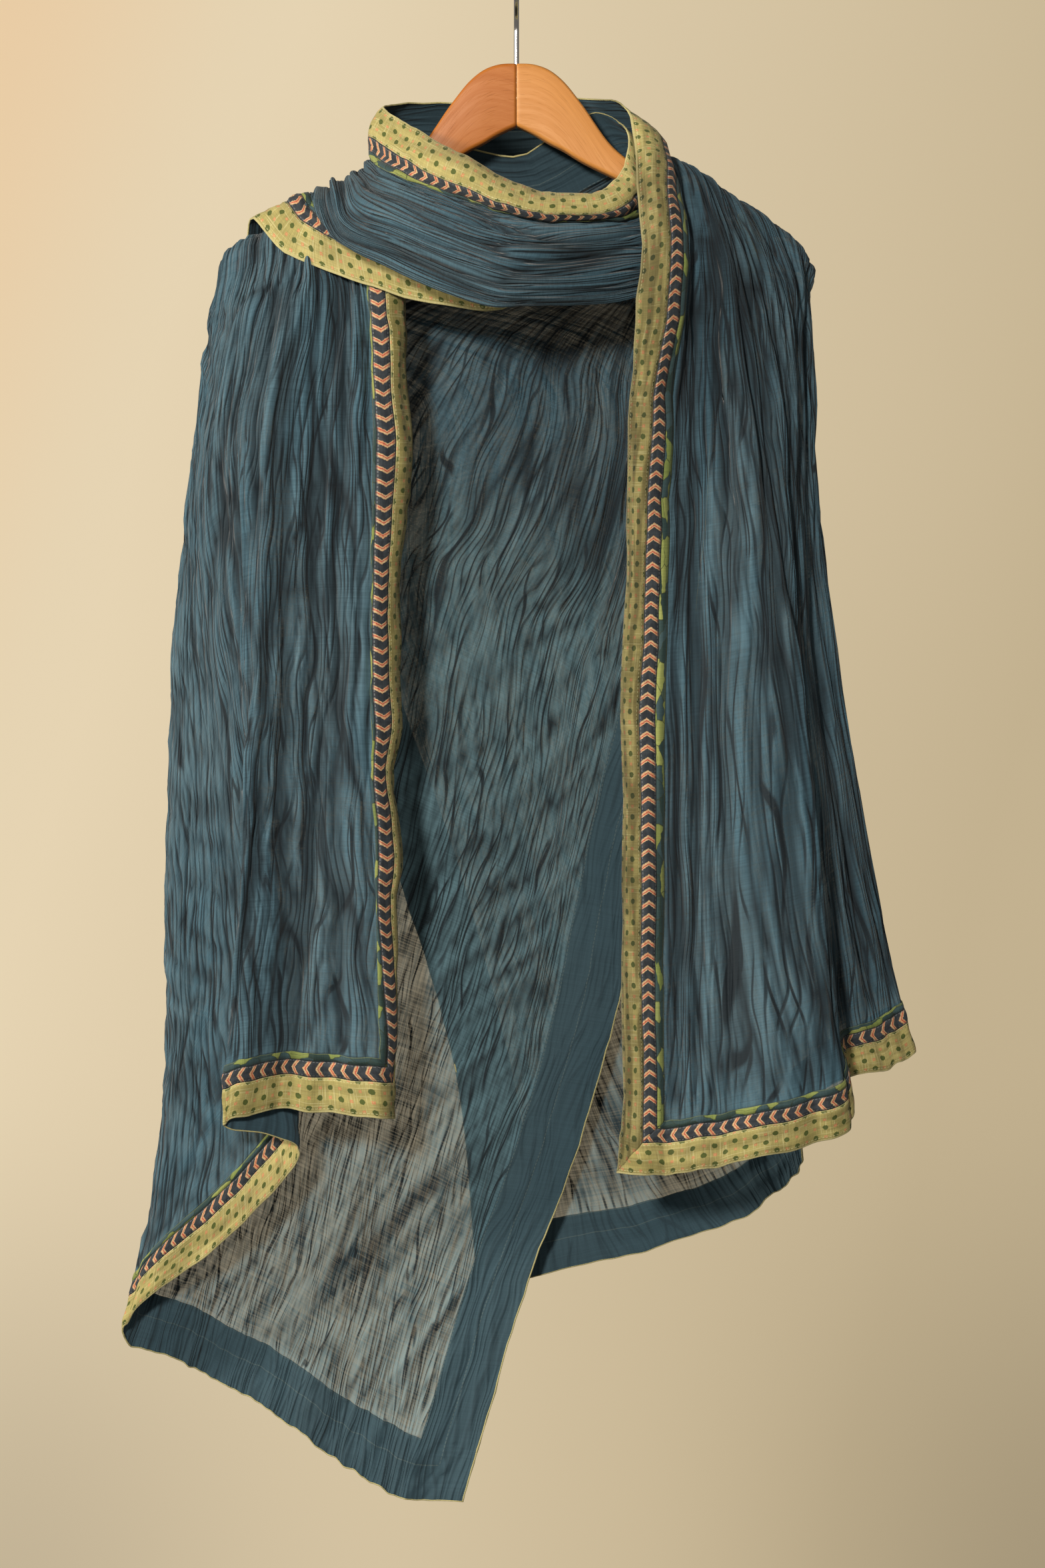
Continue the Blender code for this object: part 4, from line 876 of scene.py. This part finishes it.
def closed_run(name, rings, look, places):
    """A closed solid through rings of points, with its two ends filled."""
    stations, n = rings.shape[:2]
    faces = []
    for s in range(stations - 1):
        for k in range(n):
            a, b = s * n + k, s * n + (k + 1) % n
            faces.append((a, b, b + n, a + n))
    faces.append(tuple(range(n))[::-1])
    faces.append(tuple(range((stations - 1) * n, stations * n)))
    # turned the right way out by the sign of its volume
    p = rings.reshape(-1, 3)
    p = p - p.mean(0)
    volume = sum(float(np.dot(p[f[0]], np.cross(p[f[1]], p[f[2]])) + np.dot(p[f[0]], np.cross(p[f[2]], p[f[3]])))
                 for f in faces[:-2])
    if volume < 0:
        faces = [f[::-1] for f in faces]
    made = new_object(name, rings.reshape(-1, 3), faces, look)
    give_places(made, places.reshape(-1, 2))
    return made


def strip(kind, side, start, stop, look):
    """One sewn strip of the border, just out of the cloth's face. The dotted one is turned over
    the cloth's edge."""
    long_side = side in ("front_edge", "outer_edge")
    stations = T if long_side else V
    full = CLOTH_LENGTH if long_side else CLOTH_WIDTH
    far = side in ("outer_edge", "right_hem")
    across = CLOTH_WIDTH if long_side else CLOTH_LENGTH
    gap = 0.12
    low, high = start + (gap if start else 0.0), stop - gap
    depths = np.linspace(low, high, max(3, int(round((high - low) / 3.0)) + 1))
    puff = np.sin(np.linspace(0, math.pi, len(depths))) ** 0.5
    top = list(zip(depths[::-1], (0.82 + 0.30 * puff)[::-1]))
    under = list(zip(depths, np.full(len(depths), 0.40)))
    if start == 0.0:
        turn = [(-0.40, 0.62), (-0.58, 0.10), (-0.42, -0.38), (0.0, -0.55), (0.45, -0.52),
                (0.45, -0.26), (0.1, -0.24), (-0.12, 0.05)]
        ring = top + turn + under
    else:
        ring = top + under
    ring = np.array(ring)
    s = stations[:, None]
    d = ring[None, :, 0] + np.zeros_like(s)
    offset = ring[None, :, 1] + np.zeros_like(s)
    # the seam allowances stack up at the corners, so the strips stand a little higher there
    stacked = np.clip(1 - s / 120.0, 0, 1) ** 0.5 + np.clip(1 - (full - s) / 120.0, 0, 1) ** 0.5
    offset = offset + np.where(ring[None, :, 1] > 0.3, 0.65 * stacked, 0.0)
    # the two ends are cut to the corner's mitre
    near_end = np.clip(1 - s / 90.0, 0, 1) * (d + 0.10)
    far_end = np.clip(1 - (full - s) / 90.0, 0, 1) * (d + 0.10)
    a = s + near_end - far_end
    # cut and sewn by hand, so the seams wander a little
    sway = 0.32 * smooth_noise(a / 26.0, np.full_like(a, 3.0), 301)
    ragged = 0.75 * smooth_noise(a / 7.0, np.full_like(a, 9.0), 302) + 0.5 * smooth_noise(a / 19.0, np.full_like(a, 2.0), 303)
    share = (d - BORDER_GREEN) / (BORDER - BORDER_GREEN)
    depth = d + np.where(d > 1.0, np.minimum(d / BORDER_GREEN, 1.0) * sway, 0.0)
    depth = depth + np.where(share > 0.72, (share - 0.72) / 0.28 * ragged, 0.0)
    deep = across - depth if far else depth
    t, v = (a, deep) if long_side else (deep, a)
    points = on_cloth(t, v, offset)
    # the print keeps its size, whatever the grid's spacing
    middle = points[:, : len(top)].mean(1)
    real = np.concatenate([[0.0], np.cumsum(np.linalg.norm(np.diff(middle, axis=0), axis=1))])
    real = real[:, None] + (a - a.mean(1, keepdims=True))
    made = closed_run(f"{kind}_{side}_sewn", points, look, np.stack([real, d], -1))
    # how much painted shade the dotted strip gets: most on the right front edge, some on the left
    if kind == "border":
        on_right = ease((t - 1600.0) / 60.0) * (1.0 if side == "front_edge" else 0.35)
        on_left = ease((660.0 - t) / 60.0) * (0.75 if side == "front_edge" else 0.25)
        give_value(made, "shade", np.clip(0.22 + 0.70 * on_right + 0.45 * on_left, 0, 0.95))
    if kind == "chevron":
        give_value(made, "point", np.full(points.shape[:2], {"front_edge": 1.0, "outer_edge": 1.0,
                                                             "left_hem": -1.0, "right_hem": 1.0}[side]))
    return made


cloth = cloth_sheet()
for side in ("front_edge", "outer_edge", "left_hem", "right_hem"):
    for kind, start, stop, look, slot in (
            ("border", 0.0, BORDER_GREEN, GREEN, "dotted_cotton"),
            ("chevron", BORDER_GREEN, BORDER_GREEN + BORDER_CHEVRON, CHEVRON, "chevron_cotton"),
            ("leaf", BORDER_GREEN + BORDER_CHEVRON, BORDER, LEAF, "leaf_cotton")):
        made = strip(kind, side, start, stop, look)
        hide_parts(f"{kind}_{side}")
        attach(made, "root")


# ---------------------------------------------------------------- the hanger
def rounded_loop(half_y, half_z, middle, corner, steps=6):
    r = min(corner, half_y * 0.9, half_z * 0.9)
    loop = []
    for cy, cz, first in ((half_y - r, half_z - r, 0.0), (-half_y + r, half_z - r, 90.0),
                          (-half_y + r, -half_z + r, 180.0), (half_y - r, -half_z + r, 270.0)):
        for k in range(steps):
            angle = math.radians(first + 90.0 * k / (steps - 1))
            loop.append((cy + r * math.cos(angle), middle + cz + r * math.sin(angle)))
    return loop


def arm(name, sign, look):
    table = np.array(HANGER, float)
    xs = np.concatenate([np.linspace(0, 60, 31), np.linspace(64, 196, 34), np.linspace(199, 212, 9)])
    read = through(table[:, 1:], table[:, 0], xs)
    rings, places = [], []
    for x, (top, low, half_y) in zip(xs, read):
        at_x = max(x, 0.15)
        # the two halves have their edges eased where they meet
        ease_in = 0.10 * math.exp(-x / 0.4)
        loop = rounded_loop(half_y - ease_in, (top - low) / 2 - ease_in, (top + low) / 2, 3.2)
        rings.append([(sign * at_x, y, z) for y, z in loop])
        turn = 0.0
        row = []
        for k, (y, z) in enumerate(loop):
            if k:
                turn += math.hypot(y - loop[k - 1][0], z - loop[k - 1][1])
            row.append((at_x, turn))
        places.append(row)
    # a rounded tip
    last, middle = np.array(rings[-1]), np.mean(rings[-1], axis=0)
    for shrink, further in ((0.72, 0.0), (0.36, 0.0)):
        rings.append([tuple(middle + (p - middle) * shrink + (sign * further, 0, 0)) for p in last])
        places.append(places[-1])
    return closed_run(name, np.array(rings, float), look, np.array(places, float))


def hook_line():
    crook_z = CROWN_RISE - (CROOK_R - WIRE_R)
    line = [(0.0, z) for z in np.linspace(-24.0, 24.0, 13)]
    first = math.radians(CROOK_FROM)
    end = (CROOK_R * math.cos(first), crook_z + CROOK_R * math.sin(first))
    lean = (math.sin(first), -math.cos(first))
    p0, p1, p2, p3 = (0.0, 24.0), (0.0, 34.0), (end[0] - 11 * lean[0], end[1] - 11 * lean[1]), end
    for s in np.linspace(0, 1, 17)[1:]:
        w = ((1 - s) ** 3, 3 * s * (1 - s) ** 2, 3 * s * s * (1 - s), s**3)
        line.append(tuple(sum(wk * p[k] for wk, p in zip(w, (p0, p1, p2, p3))) for k in (0, 1)))
    for angle in np.linspace(CROOK_FROM, CROOK_TO, 61)[1:]:
        a = math.radians(angle)
        line.append((CROOK_R * math.cos(a), crook_z + CROOK_R * math.sin(a)))
    return np.array([(0.0, y, z) for y, z in line])


def wire(name, line, radius, look, sides=24):
    run = unit(np.gradient(line, axis=0))
    line = list(line)
    run = list(run)
    size = [radius] * len(line)
    tip, way = line[-1], run[-1]
    for angle in (20.0, 38.0, 54.0, 68.0, 80.0):
        a = math.radians(angle)
        line.append(tip + way * radius * math.sin(a))
        run.append(way)
        size.append(radius * math.cos(a))
    rings, places, far = [], [], 0.0
    for k, (here, way, r) in enumerate(zip(line, run, size)):
        if k:
            far += float(np.linalg.norm(here - line[k - 1]))
        side = np.array((1.0, 0.0, 0.0))
        up = unit(np.cross(way, side))
        rings.append([here + r * (side * math.cos(a) + up * math.sin(a))
                      for a in np.linspace(0, 2 * math.pi, sides, endpoint=False)])
        places.append([(far, radius * a) for a in np.linspace(0, 2 * math.pi, sides, endpoint=False)])
    return closed_run(name, np.array(rings), look, np.array(places))


left_arm = arm("hanger_arm_left", -1, WOOD_LEFT)
right_arm = arm("hanger_arm_right", 1, WOOD_RIGHT)
hook = wire("hook_wire", hook_line(), WIRE_R, CHROME)
for made, node, slot in ((left_arm, "hanger_left", "varnished_wood"),
                         (right_arm, "hanger_right", "varnished_wood"), (hook, "hook", "chrome_wire")):
    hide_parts(node)
    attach(made, "root")

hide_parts("cloth")
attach(cloth, "root")


# ---------------------------------------------------------------- the studio
def studio():
    """A round pale wall that curves into a pale floor, well clear of the object."""
    look = Look("pale_wall")
    look.set(Base_Color=(0.80, 0.715, 0.545), Roughness=1.0, Specular_IOR_Level=0.0)
    # lit from the viewer's left: paler and peachier there, a deeper tan low on the right
    place = look.node("ShaderNodeNewGeometry")
    parts = look.node("ShaderNodeSeparateXYZ")
    look.tree.links.new(place.outputs["Position"], parts.inputs[0])
    x, z = parts.outputs[0], parts.outputs[2]
    drift = look.times(look.sum("SUBTRACT", look.noise(look.times(x, 0.5), look.times(z, 0.5), 0.0, 1.0), 0.5), 0.5)
    right = look.add(look.add(look.times(x, 1 / 1.37), look.times(look.add(z, 0.62), -0.22)), drift)
    wall = look.mix(look.ramp(right, -0.9, 0.95, 0.0, 1.0, "LINEAR"), (0.700, 0.595, 0.420), (0.478, 0.396, 0.258))
    peach = look.ramp(look.add(look.times(x, -1.0), look.times(z, 0.35)), 1.1, 1.9)
    wall = look.mix(look.times(peach, 0.55), wall, (0.76, 0.52, 0.30))
    # painted shade: a little darker towards the low corners
    low = look.times(look.ramp(z, -2.6, -1.3, 1.0, 0.0), look.ramp(look.sum("ABSOLUTE", x), 0.2, 1.3))
    shade = look.sum("SUBTRACT", 1.0, look.times(low, 0.26))
    wall = look.mix(1.0, wall, look.vector(shade, shade, shade), "MULTIPLY")
    # painted light: the wall also glows with its own colour, on top of the lamps' light
    look.set(Base_Color=wall, Emission_Color=wall, Emission_Strength=0.78)
    profile = [(0.02, -3.0), (2.0, -3.0), (4.0, -3.0), (5.0, -3.0)]
    for k in range(1, 13):
        a = math.radians(90.0 * k / 12)
        profile.append((5.0 + 2.5 * math.sin(a), -3.0 + 2.5 * (1 - math.cos(a))))
    profile += [(7.5, 2.0), (7.5, 5.0), (7.5, 9.0)]
    sides, points, faces = 96, [], []
    for r, z in profile:
        for k in range(sides):
            a = 2 * math.pi * k / sides
            points.append((r * math.cos(a) * 1000, r * math.sin(a) * 1000, z * 1000 + CROWN_RISE))
    for s in range(len(profile) - 1):
        for k in range(sides):
            a, b = s * sides + k, s * sides + (k + 1) % sides
            faces.append((a, b, b + sides, a + sides))
    faces.append(tuple(range(sides))[::-1])
    made = new_object("studio_wall", points, faces, look.material)
    made.visible_shadow = False
    made.visible_diffuse = False
    made.visible_glossy = False


def light(name, place, target, size, power, colour):
    data = bpy.data.lights.new(name, "AREA")
    data.shape = "DISK"
    data.size = size
    data.energy = power
    data.color = colour
    made = bpy.data.objects.new(name, data)
    made.location = place
    way = np.array(target, float) - np.array(place, float)
    from mathutils import Vector
    made.rotation_euler = Vector(way).to_track_quat("-Z", "Y").to_euler()
    bpy.context.scene.collection.objects.link(made)


studio()
light("key", (-1.0, -3.5, 0.35), (0.0, 0.0, -0.55), 0.45, 118.0, (1.0, 0.94, 0.85))
light("side", (-3.2, -1.3, 0.7), (0.0, 0.0, -0.5), 0.6, 118.0, (1.0, 0.92, 0.80))
light("fill", (1.4, -4.2, 0.1), (0.0, 0.0, -0.6), 2.2, 10.0, (1.0, 0.95, 0.87))
world = bpy.data.worlds.new("soft_room")
world.use_nodes = True
sky = world.node_tree.nodes["Background"]
sky.inputs["Color"].default_value = (1.0, 0.93, 0.83, 1.0)
sky.inputs["Strength"].default_value = 0.17
bpy.context.scene.world = world
